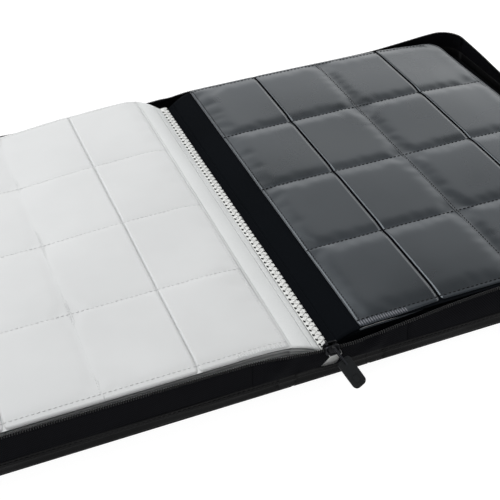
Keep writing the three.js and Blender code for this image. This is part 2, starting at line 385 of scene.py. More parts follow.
black_sheet = make_sheet("divider_black_spunbond", "#06080b", "#0b0e12", 0.03)
white_sheet = make_sheet("divider_white_spunbond", "#d4d6d6", "#e2e4e4", 0.25)
SHEET = {-1: white_sheet, 1: black_sheet}

# %% [markdown]
# ## Pocket film
# The pockets are clear cast polypropylene with a fine matt emboss. Over the black sheet the film reads as a
# mid grey, because its embossed face scatters the white of the room; over the white sheet it reads as a
# milky grey. That scattered room light is painted into the film's colour, its broad gloss comes from the
# roughness, and soft cloudy patches show where the film touches the sheet under it. Each pocket is also
# painted a little lighter towards its back: a painted highlight, standing in for the room reflected in the
# puffed film.

# %% Pocket film
def make_film(name, touching, standing_off_and_highlit, rough, specular, back_highlight_strength):
    """Film over a sheet: one colour where it touches the sheet, another where it stands off, which also
    carries the painted highlight at the back of each pocket.
    """
    material, tree, where = start_material(name)
    emboss, patches, drift = (
        add_node(tree, "ShaderNodeTexNoise", None, Vector=where, Scale=per_mm(size), Detail=detail,
                 Roughness=roughness).outputs[0]
        for size, detail, roughness in ((0.9, 2.0, 0.5), (55, 3.0, 0.45), (170, 1.0, 0.5)))
    near = add_node(tree, "ShaderNodeMath", TIMES, i0=patches, i1=0.65).outputs[0]
    far = add_node(tree, "ShaderNodeMath", TIMES, i0=drift, i1=0.35).outputs[0]
    clouds = add_node(tree, "ShaderNodeMath", PLUS, i0=near, i1=far).outputs[0]
    clouds = add_node(tree, "ShaderNodeMapRange", None, Value=clouds, From_Min=0.36, From_Max=0.62,
                      To_Max=0.6).outputs[0]

    # How far back in its own pocket a point is, from 0 to 1, bent so that only the back gets the painted
    # highlight
    back_highlight = add_node(tree, "ShaderNodeSeparateXYZ", None, Vector=where).outputs[1]
    for operation, number in (("SUBTRACT", ROWS[0] * MM), ("DIVIDE", POCKET_H * MM), ("FRACT", 0.0),
                              ("POWER", 2.5), ("MULTIPLY", back_highlight_strength)):
        back_highlight = add_node(tree, "ShaderNodeMath", {"operation": operation}, i0=back_highlight, i1=number).outputs[0]
    shade = add_node(tree, "ShaderNodeMath", PLUS, i0=clouds, i1=back_highlight).outputs[0]
    colour = add_node(tree, "ShaderNodeMix", RGBA, i0=shade, i6=linear(touching), i7=linear(standing_off_and_highlit))
    gloss = add_node(tree, "ShaderNodeMapRange", None, Value=patches, From_Min=0.3, From_Max=0.7,
                     To_Min=rough - 0.05, To_Max=rough + 0.07)
    fine = add_node(tree, "ShaderNodeBump", None, Height=emboss, Distance=0.03 * MM, Strength=0.35)
    return principled(material, Base_Color=colour.outputs[2], Roughness=gloss.outputs[0], IOR=1.49,
                      Specular_IOR_Level=specular, Specular_Tint=(0.84, 0.93, 1.0, 1.0),
                      Normal=fine.outputs[0])


# The last number is the strength of the painted highlight at the back of each pocket
film_on_black = make_film("pocket_film_over_black", "#121619", "#22262b", 0.28, 0.85, 0.6)
film_on_white = make_film("pocket_film_over_white", "#cbcccc", "#d4d5d5", 0.45, 0.3, 0.1)
FILM = {-1: film_on_white, 1: film_on_black}

# %% [markdown]
# ## Thread, nylon, metal and rubber
# The stitches are polyester thread, twisted from plies. The coil is nylon monofilament, smooth and a little
# glossy. The slider and its link are cast zinc with a gun-metal plating, and the puller is soft moulded
# rubber, matt with a very fine spark texture.

# %% Thread, nylon, metal and rubber
def make_thread(name, dark, light):
    material, tree, where = start_material(name)
    plies = add_node(tree, "ShaderNodeTexWave", {"wave_type": "BANDS", "bands_direction": "DIAGONAL"},
                     Vector=where, Scale=per_mm(0.5) * WAVE_TURN, Distortion=1.0).outputs[1]
    # The grooves between the plies are painted darker: painted shade.
    colour = add_node(tree, "ShaderNodeMix", RGBA, i0=plies, i6=linear(dark), i7=linear(light))
    twist = add_node(tree, "ShaderNodeBump", None, Height=plies, Distance=0.05 * MM, Strength=0.5)
    return principled(material, Base_Color=colour.outputs[2], Roughness=0.65, Specular_IOR_Level=0.25,
                      Normal=twist.outputs[0])


def make_moulded(name, dark, light, rough, specular, grain, depth, metallic=0.0):
    """Anything cast or moulded: an even colour, cloudy wear and a fine surface grain."""
    material, tree, where = start_material(name)
    wear = add_node(tree, "ShaderNodeTexNoise", None, Vector=where, Scale=per_mm(9), Detail=5.0).outputs[0]
    colour = add_node(tree, "ShaderNodeMix", RGBA, i0=wear, i6=linear(dark), i7=linear(light))
    gloss = add_node(tree, "ShaderNodeMapRange", None, Value=wear, From_Min=0.3, From_Max=0.7,
                     To_Min=rough - 0.06, To_Max=rough + 0.08)
    grains = add_node(tree, "ShaderNodeTexNoise", None, Vector=where, Scale=per_mm(grain))
    texture = add_node(tree, "ShaderNodeBump", None, Height=grains.outputs[0], Distance=depth * MM,
                       Strength=0.5)
    return principled(material, Base_Color=colour.outputs[2], Roughness=gloss.outputs[0], Metallic=metallic,
                      Specular_IOR_Level=specular, Normal=texture.outputs[0])


white_thread = make_thread("thread_white_polyester", "#cfd0ce", "#f6f6f4")
black_thread = make_thread("thread_black_polyester", "#020203", "#0b0b0d")
nylon = make_moulded("coil_black_nylon", "#050506", "#0b0b0d", 0.25, 0.45, 0.5, 0.01)
gun_metal = make_moulded("slider_gun_metal_zinc", "#101113", "#2a2b2f", 0.3, 0.5, 0.8, 0.01, 0.9)
puller_rubber = make_moulded("puller_moulded_rubber", "#0b0d0f", "#131618", 0.62, 0.16, 0.45, 0.03)
shadow_hole = make_moulded("stitch_hole_dark", "#1a1b1c", "#333433", 0.9, 0.05, 0.8, 0.01)
grey_board = make_sheet("stiffener_pressed_board", "#6f6a60", "#8b857a", 0.1)
# Crimp and weld are painted a lighter grey than the film: painted highlights on their ridges.
crimp_highlight = make_moulded("film_crimped_edge", "#5a5c64", "#7d7f88", 0.35, 0.6, 0.8, 0.01)
weld_highlight = make_moulded("film_weld_edge", "#3a3e43", "#505459", 0.35, 0.5, 0.8, 0.01)
# Over the white sheet thread, weld and crimp are pressed into the film and take on its look
THREAD = {-1: film_on_white, 1: black_thread}
WELD = {-1: film_on_white, 1: weld_highlight}
CRIMP = {-1: film_on_white, 1: crimp_highlight}

# %% [markdown]
# The hidden boards and the linings of the frame keep their own meshes and only get their finish here. The
# outer skins stay too: they are flat sheets of leatherette, and the pieces below cover their edges.

# %% Finish the nodes that stay
FINISHES = {
    "skin": leatherette,
    "board": grey_board,
    "lining": lining_cloth,
    "block": binding_core,
    "band": leatherette,
}
for node_name, node_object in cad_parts.items():
    for ending, finish in FINISHES.items():
        if node_name.endswith(ending):
            node_object.data.materials.clear()
            node_object.data.materials.append(finish)
print("finished", sum(name.endswith(tuple(FINISHES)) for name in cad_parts), "frame nodes")

# %% [markdown]
# ## One tree for everything in a row
# Coil teeth, stitches and thread holes all do the same thing: one small shape, repeated at an even pitch
# along a path. On the real binder a sewing machine or a coil winder does it. Geometry Nodes make it here with
# one tree: the path's edges become curves, the curves are resampled at the pitch, the small shape is set on
# each point with its own X axis along the path, and the result is realised with its material. A seeded turn
# of a few degrees keeps it from looking printed.

# %% The row tree and the thread tree
PITCHED = {"Pitch": ("Float", 0.003), "Wobble": ("Float", 0.03), "Seed": ("Int", 7)}


def start_tree(name, result, start, **inputs):
    """A tree with a named geometry to start from and named inputs, each a kind of socket and its value."""
    tree = bpy.data.node_groups.new(name, "GeometryNodeTree")
    tree.interface.new_socket(start, in_out="INPUT", socket_type="NodeSocketGeometry")
    for label, (kind, value) in {**inputs, "Material": ("Material", None)}.items():
        socket = tree.interface.new_socket(label, in_out="INPUT", socket_type="NodeSocket" + kind)
        if value is not None:
            socket.default_value = value
    tree.interface.new_socket(result, in_out="OUTPUT", socket_type="NodeSocketGeometry")
    return tree, tree.nodes.new("NodeGroupInput").outputs


def end_tree(tree, given, geometry):
    """Makes the instances real, gives them their material and sends them out."""
    real = add_node(tree, "GeometryNodeRealizeInstances", None, Geometry=geometry)
    done = add_node(tree, "GeometryNodeSetMaterial", None, Geometry=real.outputs[0],
                    Material=given["Material"])
    add_node(tree, "NodeGroupOutput", None, i0=done.outputs[0])
    return tree


def build_row_tree():
    tree, given = start_tree("row_along_path", "Row", "Path", Shape=("Object", None), **PITCHED)
    curve = add_node(tree, "GeometryNodeMeshToCurve", None, Mesh=given["Path"])
    even = add_node(tree, "GeometryNodeResampleCurve", {"mode": "LENGTH"}, Curve=curve.outputs[0],
                    Length=given["Pitch"])
    shape = add_node(tree, "GeometryNodeObjectInfo", None, Object=given["Shape"])
    tangent = add_node(tree, "GeometryNodeInputTangent")
    along = add_node(tree, "FunctionNodeAxesToRotation", {"primary_axis": "X", "secondary_axis": "Z"},
                     Primary_Axis=tangent.outputs[0], Secondary_Axis=(0, 0, 1))
    wobble = add_node(tree, "ShaderNodeMath", TIMES, i0=given["Wobble"], i1=-1.0)
    turn = add_node(tree, "FunctionNodeRandomValue", {"data_type": "FLOAT"}, i2=wobble.outputs[0],
                    i3=given["Wobble"], Seed=given["Seed"])
    bend = add_node(tree, "ShaderNodeCombineXYZ", None, Z=turn.outputs[1])
    spin = add_node(tree, "FunctionNodeEulerToRotation", None, i0=bend.outputs[0])
    both = add_node(tree, "FunctionNodeRotateRotation", {"rotation_space": "LOCAL"}, i0=along.outputs[0],
                    i1=spin.outputs[0])
    placed = add_node(tree, "GeometryNodeInstanceOnPoints", None, Points=even.outputs[0],
                      Instance=shape.outputs["Geometry"], Rotation=both.outputs[0])
    return end_tree(tree, given, placed.outputs[0])


def build_tube_tree():
    """A round thread along a path."""
    tree, given = start_tree("thread_along_path", "Thread", "Path", Radius=("Float", 0.0003))
    curve = add_node(tree, "GeometryNodeMeshToCurve", None, Mesh=given["Path"])
    ring = add_node(tree, "GeometryNodeCurvePrimitiveCircle", None, Resolution=6, Radius=given["Radius"])
    tube = add_node(tree, "GeometryNodeCurveToMesh", None, Curve=curve.outputs[0],
                    Profile_Curve=ring.outputs[0], Fill_Caps=True)
    return end_tree(tree, given, tube.outputs[0])


row_tree, tube_tree = build_row_tree(), build_tube_tree()


def path_object(name, lines):
    """Polylines, in millimetres, as a mesh of edges."""
    points, edges = [], []
    for line in lines:
        first = len(points)
        points += [tuple(c * MM for c in p) for p in line]
        edges += [(first + i, first + i + 1) for i in range(len(line) - 1)]
    mesh = bpy.data.meshes.new(name)
    mesh.from_pydata(points, edges, [])
    obj = bpy.data.objects.new(name, mesh)
    scene.collection.objects.link(obj)
    return obj


def run_tree(obj, tree, **inputs):
    """Runs a tree on an object, its inputs set by identifier, and keeps the mesh that it makes."""
    modifier = obj.modifiers.new("nodes", "NODES")
    modifier.node_group = tree
    for item in tree.interface.items_tree:
        if item.in_out == "INPUT" and item.name in inputs:
            modifier[item.identifier] = inputs[item.name]
    bake_modifiers(obj)
    return obj


def row_of(name, shape, lines, pitch, material, wobble=0.03, seed=7):
    obj = run_tree(path_object(name, lines), row_tree, Shape=shape, Pitch=pitch * MM, Wobble=wobble,
                   Seed=seed, Material=material)
    obj.data.shade_smooth()
    return obj


def thread_of(name, lines, radius, material):
    obj = run_tree(path_object(name, lines), tube_tree, Radius=radius * MM, Material=material)
    obj.data.shade_smooth()
    return obj


print("node trees:", [tree.name for tree in bpy.data.node_groups])

# %% [markdown]
# ## The small shapes
# A few shapes are repeated hundreds of times, so each has only a few dozen faces. A stitch is a short thread
# that dives into the cloth at both ends. A thread hole is a flat dark lens; a crimp in the film's edge is a
# flat lens too, coloured light grey on the black page as a painted highlight. A coil tooth is one turn of the
# nylon
# coil: a bent wire that stands across the tape's edge, with its head flattened where it locks into the other
# tape's teeth.

# %% Small shapes
def lens(name, length, width, height, rings=5, sides=6):
    """A pointed pebble along X."""
    points = []
    for i in range(rings):
        t = math.pi * (i + 0.5) / rings
        for j in range(sides):
            a = 2 * math.pi * j / sides
            points.append((-math.cos(t) * length / 2, math.sin(t) * math.cos(a) * width / 2,
                           math.sin(t) * math.sin(a) * height / 2))
    return face_out(new_piece(name, points, tube_faces(rings, sides)))


def coil_tooth(name, sides=5):
    """One turn of the coil, seen along the tape: a wire that goes up one side of the edge and down the
    other, with a flattened head on top."""
    route = [(0, 0.7, -0.9), (-0.1, 0.7, 0.1), (-0.2, 0.45, 0.6), (0.0, 0.0, 0.8), (0.2, -0.45, 0.6),
             (0.1, -0.7, 0.1), (0, -0.7, -0.9)]
    along_tape = Vector((1, 0, 0))
    points = []
    for i, at in enumerate(route):
        low, high = route[max(i - 1, 0)], route[min(i + 1, len(route) - 1)]
        side = (Vector(high) - Vector(low)).cross(along_tape).normalized()
        wide, deep = (0.44, 0.28) if 2 <= i <= 4 else (0.28, 0.26)
        for j in range(sides):
            a = 2 * math.pi * j / sides
            points.append(tuple(Vector(at) + along_tape * wide * math.cos(a) + side * deep * math.sin(a)))
    return face_out(new_piece(name, points, tube_faces(len(route), sides)))


stitch_shape = lens("stitch_shape", 2.5, 0.95, 0.7)
small_stitch_shape = lens("small_stitch_shape", 1.7, 0.7, 0.6)
hole_shape = lens("hole_shape", 2.7, 1.8, 0.5)
small_hole_shape = lens("small_hole_shape", 2.2, 1.4, 0.45)
tooth_shape = coil_tooth("tooth_shape")
print("small shapes:", len(tooth_shape.data.polygons), "faces in a tooth")

# %% [markdown]
# ## The route of the wall
# Band, zip tape and coil all follow the same route round each cover: from the spine along the front, round
# the rounded corner, up the fore-edge and back again. One function gives the points of that route with the
# outward direction at each, so that every layer can lean and swell from it.

# %% The wall's route
WALL_INSET = 0.6


def wall_route(start_x, step=4.0):
    """Points (x, y, outward x, outward y, distance) round the right cover, from front to back."""
    radius = COVER_CORNER - WALL_INSET
    out_x, out_y = OUTER_X - WALL_INSET, OUTER_Y - WALL_INSET
    route = []
    for x in np.linspace(start_x, out_x - radius, max(2, int((out_x - radius - start_x) / step))):
        route.append((x, -out_y, 0.0, -1.0))
    for a in np.linspace(-90, 0, 12)[1:]:
        c, s = math.cos(math.radians(a)), math.sin(math.radians(a))
        route.append((out_x - radius + radius * c, -out_y + radius + radius * s, c, s))
    for y in np.linspace(-out_y + radius, out_y - radius, int(2 * (out_y - radius) / step))[1:]:
        route.append((out_x, y, 1.0, 0.0))
    half = [p for p in route if p[1] <= 0.001]
    route += [(x, -y, nx, -ny) for x, y, nx, ny in reversed(half) if y < -out_y + radius + 0.001]
    along = path_lengths(np.array([p[:2] for p in route]))
    return [(*p, float(d)) for p, d in zip(route, along)]


WALL = wall_route(ZIP_START_X)
WALL_LENGTH = WALL[-1][4]


def mirror(side, point):
    return (side * point[0], *point[1:])


def bumpy(distance, size, seed, height):
    """A gentle, repeatable rise and fall along a route."""
    a = distance / size * 2 * math.pi + seed * 1.7
    return height * (math.sin(a) * 0.6 + math.sin(a * 0.43 + 2 * seed) * 0.4)


# How the zip's edge lies, by distance along the route: its height and how far it leans out. The tape stands
# tall along the fronts, where it has been folded over often, and flops in against the pages along the backs.
# The distances are those of a route of 900 mm, stretched to the real one.
LIE_SPAN, LIE_BLUR = 900, 22
LIE = {
    -1: [(0, 32.4, 0.4), (40, 33.6, 1.0), (100, 34.4, 1.5), (180, 34.2, 1.5), (255, 30.6, 0.8),
         (290, 28.6, 0.0), (450, 26.2, -0.6), (610, 27.0, 0.2), (655, 26.6, 0.0), (715, 25.2, -1.5),
         (765, 22.4, -4.5), (800, 20.2, -6.3), (860, 19.6, -6.8), (900, 19.4, -6.0)],
    1: [(0, 28.8, 0.0), (30, 31.8, -0.8), (76, 33.8, -1.4), (180, 31.4, -0.8), (255, 29.2, 0.0),
        (300, 26.6, -0.5), (420, 22.0, -0.2), (545, 21.4, -0.2), (590, 25.4, -0.3), (632, 27.6, -0.4),
        (665, 27.2, -0.6), (700, 25.6, -3.2), (735, 24.6, -6.2), (800, 24.8, -7.0), (900, 24.2, -6.4)],
}
HEIGHT, LEAN = 1, 2


def lie_curve(side, column):
    """One column of the table, at every millimetre of the route."""
    table = np.array(LIE[side])
    places = np.arange(0, int(WALL_LENGTH) + 2)
    return blurred(np.interp(places, table[:, 0] * WALL_LENGTH / LIE_SPAN, table[:, column]), LIE_BLUR)


LIE_CURVES = {(side, column): lie_curve(side, column) for side in (-1, 1) for column in (HEIGHT, LEAN)}


def on_curve(curve, distance):
    return float(np.interp(distance, np.arange(len(curve)), curve))


def coil_height(side, distance):
    """Height of the coil's middle line along the wall."""
    return on_curve(LIE_CURVES[side, HEIGHT], distance) + bumpy(distance, 150, 1 + side, 0.25)


def lean(side, distance):
    """How far the coil leans out of the wall's plane, in over the pages where it is negative."""
    return on_curve(LIE_CURVES[side, LEAN], distance) + bumpy(distance, 160, 4 + side, 0.3)


print(f"wall route {WALL_LENGTH:.0f} mm per cover, {len(WALL)} points")

# %% [markdown]
# ## Leatherette wall bands
# The covers' leatherette turns up into a low wall round the boards. Its foot swells into a bead where the
# board's edge lies under it, and near its top a folded hem is sewn to the zip tape. The band is a profile of
# that shape swept along the route. It replaces the frame's plain band.

# %% Wall bands
BAND_PROFILE = [
    (-0.55, 1.3), (0.1, 0.9), (0.8, 1.1), (1.2, 1.9), (1.15, 2.9), (0.75, 3.9), (0.55, 5.2), (0.5, 6.4),
    (0.85, 6.9), (0.95, 7.4), (0.75, 7.9), (0.55, 8.6), (0.6, 9.6), (0.95, 10.3), (0.85, 11.0), (0.3, 11.3),
    (-0.3, 11.2), (-0.6, 10.6), (-0.55, 5.0),
]
WALL_RIPPLE, RIPPLE_LENGTH = 0.25, 23  # how far the leatherette ripples out, and over what length


def band_ring(x, y, nx, ny, distance, side, swell=1.0):
    """The band's profile at one place of the wall."""
    ring = []
    for out, z in BAND_PROFILE:
        out = out * swell + (WALL_RIPPLE if out > 0 else 0.0) * math.sin(distance / RIPPLE_LENGTH + z)
        ring.append(mirror(side, (x + nx * out, y + ny * out, z)))
    return ring


STITCH_Z = 8.7
for side, name in SIDES:
    route = wall_route(BAND_START_X)
    rings = [band_ring(*p, side) for p in route]
    band = sweep(f"{name}_leatherette_wall", rings, leatherette)
    line = [mirror(side, (x + nx * 0.75, y + ny * 0.75, STITCH_Z)) for x, y, nx, ny, d in route]
    seam = row_of(f"{name}_wall_stitches", stitch_shape, [line], 3.6, black_thread)
    for piece in (band, seam):
        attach(piece, f"{name}_cover")
    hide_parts(f"{name}_wall_band")
print("wall bands with", len(seam.data.polygons), "faces of stitches on each")

# %% [markdown]
# ## Zip tape and coil
# The woven tape stands on the band's hem and carries the coil on its upper edge. It is a thin sheet that
# leans and waves a little, with a weave that follows it. The coil is a turn of nylon every 1.7 mm, put on the
# tape's edge by the row tree, over the cord that the turns are wound round.

# %% Zip tape and coil
TAPE_FOOT = 10.4
TOOTH_PITCH = 1.7
CORE_RADIUS = 0.42
TAPE_STEPS = (0.0, 0.12, 0.3, 0.5, 0.7, 0.86, 1.0)
INWARD_BELLY = 0.28  # a tape that leans in bellies out behind its lean, by this share of it


def zip_run(tape_name, base, columns, edge):
    """One run of the zip: its woven tape from columns of points, the teeth on its edge and their core."""
    tape = sweep(tape_name, columns, zip_tape_cloth, closed=False)
    face_out(thicken(tape, 0.8, 0.0))
    teeth = row_of(f"{base}_teeth", tooth_shape, [edge], TOOTH_PITCH, nylon, 0.05)
    core = thread_of(f"{base}_core", [edge], CORE_RADIUS, zip_tape_cloth)
    return tape, teeth, core


for side, name in SIDES:
    columns, edge = [], []
    for x, y, nx, ny, distance in WALL:
        top, out = coil_height(side, distance), lean(side, distance)
        column = []
        for t in TAPE_STEPS:
            belly = 0.5 * math.sin(math.pi * t) * (1 + bumpy(distance, 70, 2, 0.8))
            belly += max(-out, 0) * INWARD_BELLY * math.sin(math.pi * t)
            shift = out * t**1.5 + belly
            column.append(mirror(side, (x + nx * shift, y + ny * shift, TAPE_FOOT + (top - TAPE_FOOT) * t)))
        columns.append(column)
        edge.append(mirror(side, (x + nx * out, y + ny * out, top)))
    tape, coil, core = zip_run(f"{name}_woven_zip_tape", f"{name}_coil", columns, edge)
    for piece in (tape, coil, core):
        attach(piece, f"{name}_cover")
    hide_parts(f"{name}_zip_tape")
    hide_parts(f"{name}_zip_coil")
print("coil:", round(WALL_LENGTH / TOOTH_PITCH), "teeth on each cover,", len(coil.data.polygons), "faces")

# %% [markdown]
# ## Gussets at the spine's two ends
# Between the covers the wall is soft, so that it can fold when the binder closes: only band, tape and coil
# cross the spine there. At the front the two coils run down into the slider, at the back they dip to the end
# of the spine. Each side of each end is a piece of its own, with its placement baked into its mesh.

# %% Gussets
GUSSETS = {
    # end, side: where the coil starts beside the middle, then (share of the way out, height, lean out) of it
    ("front", -1): (5.2, [(0.0, 25.6, 0.6), (0.15, 27.2, 1.4), (0.5, 30.6, 2.2), (0.8, 32.2, 1.4),
                          (1.0, 32.4, 0.4)]),
    ("front", 1): (5.2, [(0.0, 25.2, 0.6), (0.2, 25.0, 0.9), (0.5, 26.2, 0.7), (1.0, 28.8, 0.0)]),
    ("back", -1): (0.0, [(0.0, 19.2, -0.5), (0.3, 19.2, -2.5), (0.6, 19.3, -5.0), (1.0, 19.4, -6.0)]),
    ("back", 1): (0.0, [(0.0, 19.2, -0.5), (0.14, 19.4, -1.5), (0.34, 23.0, -4.5), (0.5, 24.6, -6.0),
                        (1.0, 24.2, -6.4)]),
}
# The zip is open at its parked end, so the two tapes part below the slider: how far from the middle each
# tape's inner edge is, at the foot, at the slider and at the coil
PARTING = {
    -1: [(9.2, 9.6), (17.6, 1.2), (22.0, 3.2), (26.4, 5.2)],
    1: [(9.2, 4.2), (17.6, 8.8), (22.0, 7.0), (26.4, 5.2)],
}
DIRECTION = {"front": -1, "back": 1}
wall_y = OUTER_Y - WALL_INSET


def gusset_blend(piece):
    """Bakes the piece's placement into its mesh."""
    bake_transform(piece)


for (end, side), (inner_x, table) in GUSSETS.items():
    name, direction = dict(SIDES)[side], DIRECTION[end]
    table = np.array(table)
    parts = np.linspace(0, 1, 34)
    tops, leans = (blurred(np.interp(parts, table[:, 0], table[:, column]), 4) for column in (HEIGHT, LEAN))
    distance = 0.0 if end == "front" else WALL_LENGTH
    tops += (coil_height(side, distance) - tops[-1]) * parts**4
    leans += (lean(side, distance) - leans[-1]) * parts**4
    columns, edge = [], []
    for part, top, out in zip(parts, tops, leans):
        x = inner_x + (ZIP_START_X - inner_x) * part
        crease = (1.5 if end == "front" else 0.8) * math.sin(math.pi * part) * math.sin(x / 4.6 + side)
        foot = TAPE_FOOT - (1.4 * float(smoothstep(12 - x, 0, 6)) if end == "front" else 0)
        column = []
        for t in TAPE_STEPS:
            z = foot + (top - foot) * t
            at = x
            if end == "front":
                inner = np.interp(z, *zip(*PARTING[side]))
                at = x + (inner - inner_x) * float(smoothstep(0.4 - part, 0, 0.4))
            swell = out * t**1.5 + (1.6 * math.sin(math.pi * part) + crease) * math.sin(math.pi * t)
            swell += max(-out, 0) * INWARD_BELLY * math.sin(math.pi * t)
            column.append((side * at, direction * (wall_y + swell), z))
        columns.append(column)
        edge.append((column[-1][0], column[-1][1], top))
    tape, coil, core = zip_run(f"{name}_{end}_gusset_tape", f"{name}_{end}_gusset", columns, edge)
    band_x = np.linspace(FOLD_X - 2.5, BAND_START_X + 0.6, 9)
    rings = [band_ring(x, direction * wall_y, 0, direction, x, side, 0.9) for x in band_x]
    band = sweep(f"{name}_{end}_gusset_band", rings, leatherette)
    for piece in (tape, coil, core, band):
        gusset_blend(piece)
    if side < 0:
        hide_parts(f"{end}_tape_end")
for end, direction in DIRECTION.items():
    band_x = np.linspace(-FOLD_X + 1.6, FOLD_X - 1.6, 20)
    rings = [band_ring(x, direction * wall_y, 0, direction, x, 1, 0.9) for x in band_x]
    if end == "front":
        # The hem dips in the middle, under the slider
        rings = [[(x, y, z - 1.9 * max(z - 6, 0) / 5.3 * math.exp(-(x / 9) ** 4)) for x, y, z in ring]
                 for ring in rings]
    band = sweep(f"spine_{end}_leatherette_wall", rings, leatherette)
    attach(band, "spine")
    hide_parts(f"spine_{end}_band")
print("gussets:", len(GUSSETS), "corners")

# %% [markdown]
# ## The lie of the pages
# Twenty leaves are sewn into the spine and bend outwards from it. On the right they lie nearly flat; on the
# left the stack swells beside the spine and sags towards its back corner. Two height functions give the top
# of the stack, and every leaf below takes its share of that height, so that the whole stack lies one on
# another.

# %% Page heights
PAGE_BOTTOM = 4.2
FLAT_TOP = PAGE_TOP + 0.6
FRONT_UNTIL, BACK_FROM = -150, 186  # along the spine, the front profile turns into the back one between these
OUTWARDS = np.arange(0, 341)  # the profiles hold one height for each millimetre out from the spine


def soft_profile(*knots):
    """A smooth curve through knots, each a distance from the spine and a height."""
    return blurred(np.interp(OUTWARDS, *zip(*knots)), 4)


LEFT_BACK = soft_profile(
    (0, 13.5), (4, 15.5), (9, 19.5), (13, 22.5), (20, 26.6), (27, 29.4), (37, 30.9), (52, 30.7), (67, 29.9),
    (100, 28.4), (120, 26.7), (139, 24.4), (158, 22.4), (200, 21.6), (300, 21.8))
LEFT_FRONT = soft_profile(
    (0, 16.0), (4, 17.2), (9, 20.0), (14, 22.8), (22, 26.2), (30, 28.2), (42, 29.3), (60, 29.6), (100, 29.2),
    (200, 28.2), (300, 27.4))
RIGHT_BACK = soft_profile(
    (0, 13.0), (4, 14.0), (8, 17.0), (14, 21.2), (20, 24.6), (27, 27.0), (40, 27.9), (100, 28.0), (225, 27.4),
    (256, 25.6), (279, 23.8), (300, 22.8))
RIGHT_FRONT = soft_profile(
    (0, 17.0), (4, 18.0), (8, 20.2), (14, 23.2), (20, 25.6), (27, 27.2), (40, 27.8), (120, 27.6), (300, 26.6))


def page_top(side, out, y):
    """Height of the stack's top, in millimetres, out from the spine's middle and along it."""
    front, back = (LEFT_FRONT, LEFT_BACK) if side < 0 else (RIGHT_FRONT, RIGHT_BACK)
    t = smoothstep(y, FRONT_UNTIL, BACK_FROM)
    height = np.interp(out, OUTWARDS, front) * (1 - t) + np.interp(out, OUTWARDS, back) * t
    ripple = 0.35 * np.sin(out / 37 + side) * np.sin(y / 49 + 1.1) + 0.2 * np.sin(y / 23 + out / 61)
    return height + smoothstep(out, 30, 90) * ripple


def rounded_reach(reach, y, radius, front=FRONT_EDGE, back=BACK_EDGE):
    """How far out a leaf goes at y, with its two outer corners rounded."""
    over = np.maximum(np.maximum(y - (back - radius), (front + radius) - y), 0)
    return reach - (radius - np.sqrt(np.maximum(radius**2 - over**2, 0)))


def even_rows(front, back, count, corner):
    """Places along the spine, closer together at the rounded corners."""
    body = np.linspace(front + corner, back - corner, count)
    bend = corner * (1 - np.cos(np.linspace(0, math.pi / 2, 7)))
    return np.concatenate([front + bend, body[1:-1], back - bend[::-1]])


def leaf_grid(side, lift, inset=0.0, columns=40, count=60):
    """Rows of points on the page's top, lift millimetres above it and inset from its edge."""
    front, back = FRONT_EDGE + inset, BACK_EDGE - inset
    even_to = 200  # the columns are evenly spaced up to here, and follow the rounded edge beyond
    rows = []
    for y in even_rows(front, back, count, LEAF_CORNER):
        end = float(rounded_reach(PAGE_REACH - inset, y, LEAF_CORNER, front, back))
        beyond = even_to + (end - even_to) * np.linspace(0, 1, 16)[1:]
        out = np.concatenate([np.linspace(PAGE_X0, even_to, columns), beyond])
        rows.append([(side * x, y, float(page_top(side, x, y)) + lift) for x in out])
    return rows


def sheet_from_rows(name, rows, material, thickness, upward=True):
    """A sheet through rows of points, thick downwards from them."""
    points = [p for row in rows for p in row]
    obj = new_piece(name, points, grid_faces(len(rows), len(rows[0])), material)
    if (obj.data.polygons[0].normal.z < 0) == upward:
        obj.data.flip_normals()
    if thickness:
        thicken(obj, thickness)
    return obj


print("page stack", round(float(page_top(-1, 45, 180)), 1), "mm high at its swell")

# %% [markdown]
# ## The stack under the top leaves
# Nine leaves lie under the top leaf on each side. They are all the same shape, so one leaf is modelled and a
# stack tree repeats it upwards with a small seeded slip, as a loose stack has. The tree works on a flat
# stack; afterwards each point is lifted to its share of the stack's true height, which presses the leaves
# together where the stack sags.

# %% The stack tree
def build_stack_tree():
    tree, given = start_tree("stack_of_leaves", "Stack", "Start", Leaf=("Object", None), Count=("Int", 9),
                             Rise=("Float", 0.0023), Slip=("Float", 0.0008), Seed=("Int", 5))
    rise = add_node(tree, "ShaderNodeCombineXYZ", None, Z=given["Rise"])
    line = add_node(tree, "GeometryNodeMeshLine", None, Count=given["Count"], Offset=rise.outputs[0])
    leaf = add_node(tree, "GeometryNodeObjectInfo", None, Object=given["Leaf"])
    placed = add_node(tree, "GeometryNodeInstanceOnPoints", None, Points=line.outputs[0],
                      Instance=leaf.outputs["Geometry"])
    low, high = (
        add_node(tree, "ShaderNodeVectorMath", {"operation": "SCALE"}, i0=corner, Scale=given["Slip"])
        for corner in ((-0.3, -1, 0), (0.3, 1, 0)))
    slip = add_node(tree, "FunctionNodeRandomValue", {"data_type": "FLOAT_VECTOR"}, i0=low.outputs[0],
                    i1=high.outputs[0], Seed=given["Seed"])
    moved = add_node(tree, "GeometryNodeTranslateInstances", None, Instances=placed.outputs[0],
                     Translation=slip.outputs[0])
    return end_tree(tree, given, moved.outputs[0])

# %% Lay the stacks
stack_tree = build_stack_tree()
RISE, SLIP = 2.3, 0.9
LEAVES = 9
# layer of a leaf, how far inside the leaf's edge it ends, its height in the leaf and its thickness
LAYERS = (("sheets", 0.8, 0.55, 0.5), ("films_over", 3.4, 1.15, 0.3), ("films_under", 3.4, 0.1, 0.3))


def flat_leaf(name, side, inset, bottom, thickness, material):
    """One leaf as a flat slab with rounded corners, inset from the page's edge."""
    front, back, corner = FRONT_EDGE + inset, BACK_EDGE - inset, LEAF_CORNER - inset / 2
    rows = []
    for y in even_rows(front, back, 16, corner):
        end = float(rounded_reach(PAGE_REACH - inset, y, corner, front, back))
        out = np.concatenate([np.linspace(PAGE_X0, 60, 9)[:-1], np.linspace(60, end, 16)])
        rows.append([(side * x, y, bottom + thickness) for x in out])
    return sheet_from_rows(name, rows, material, thickness)


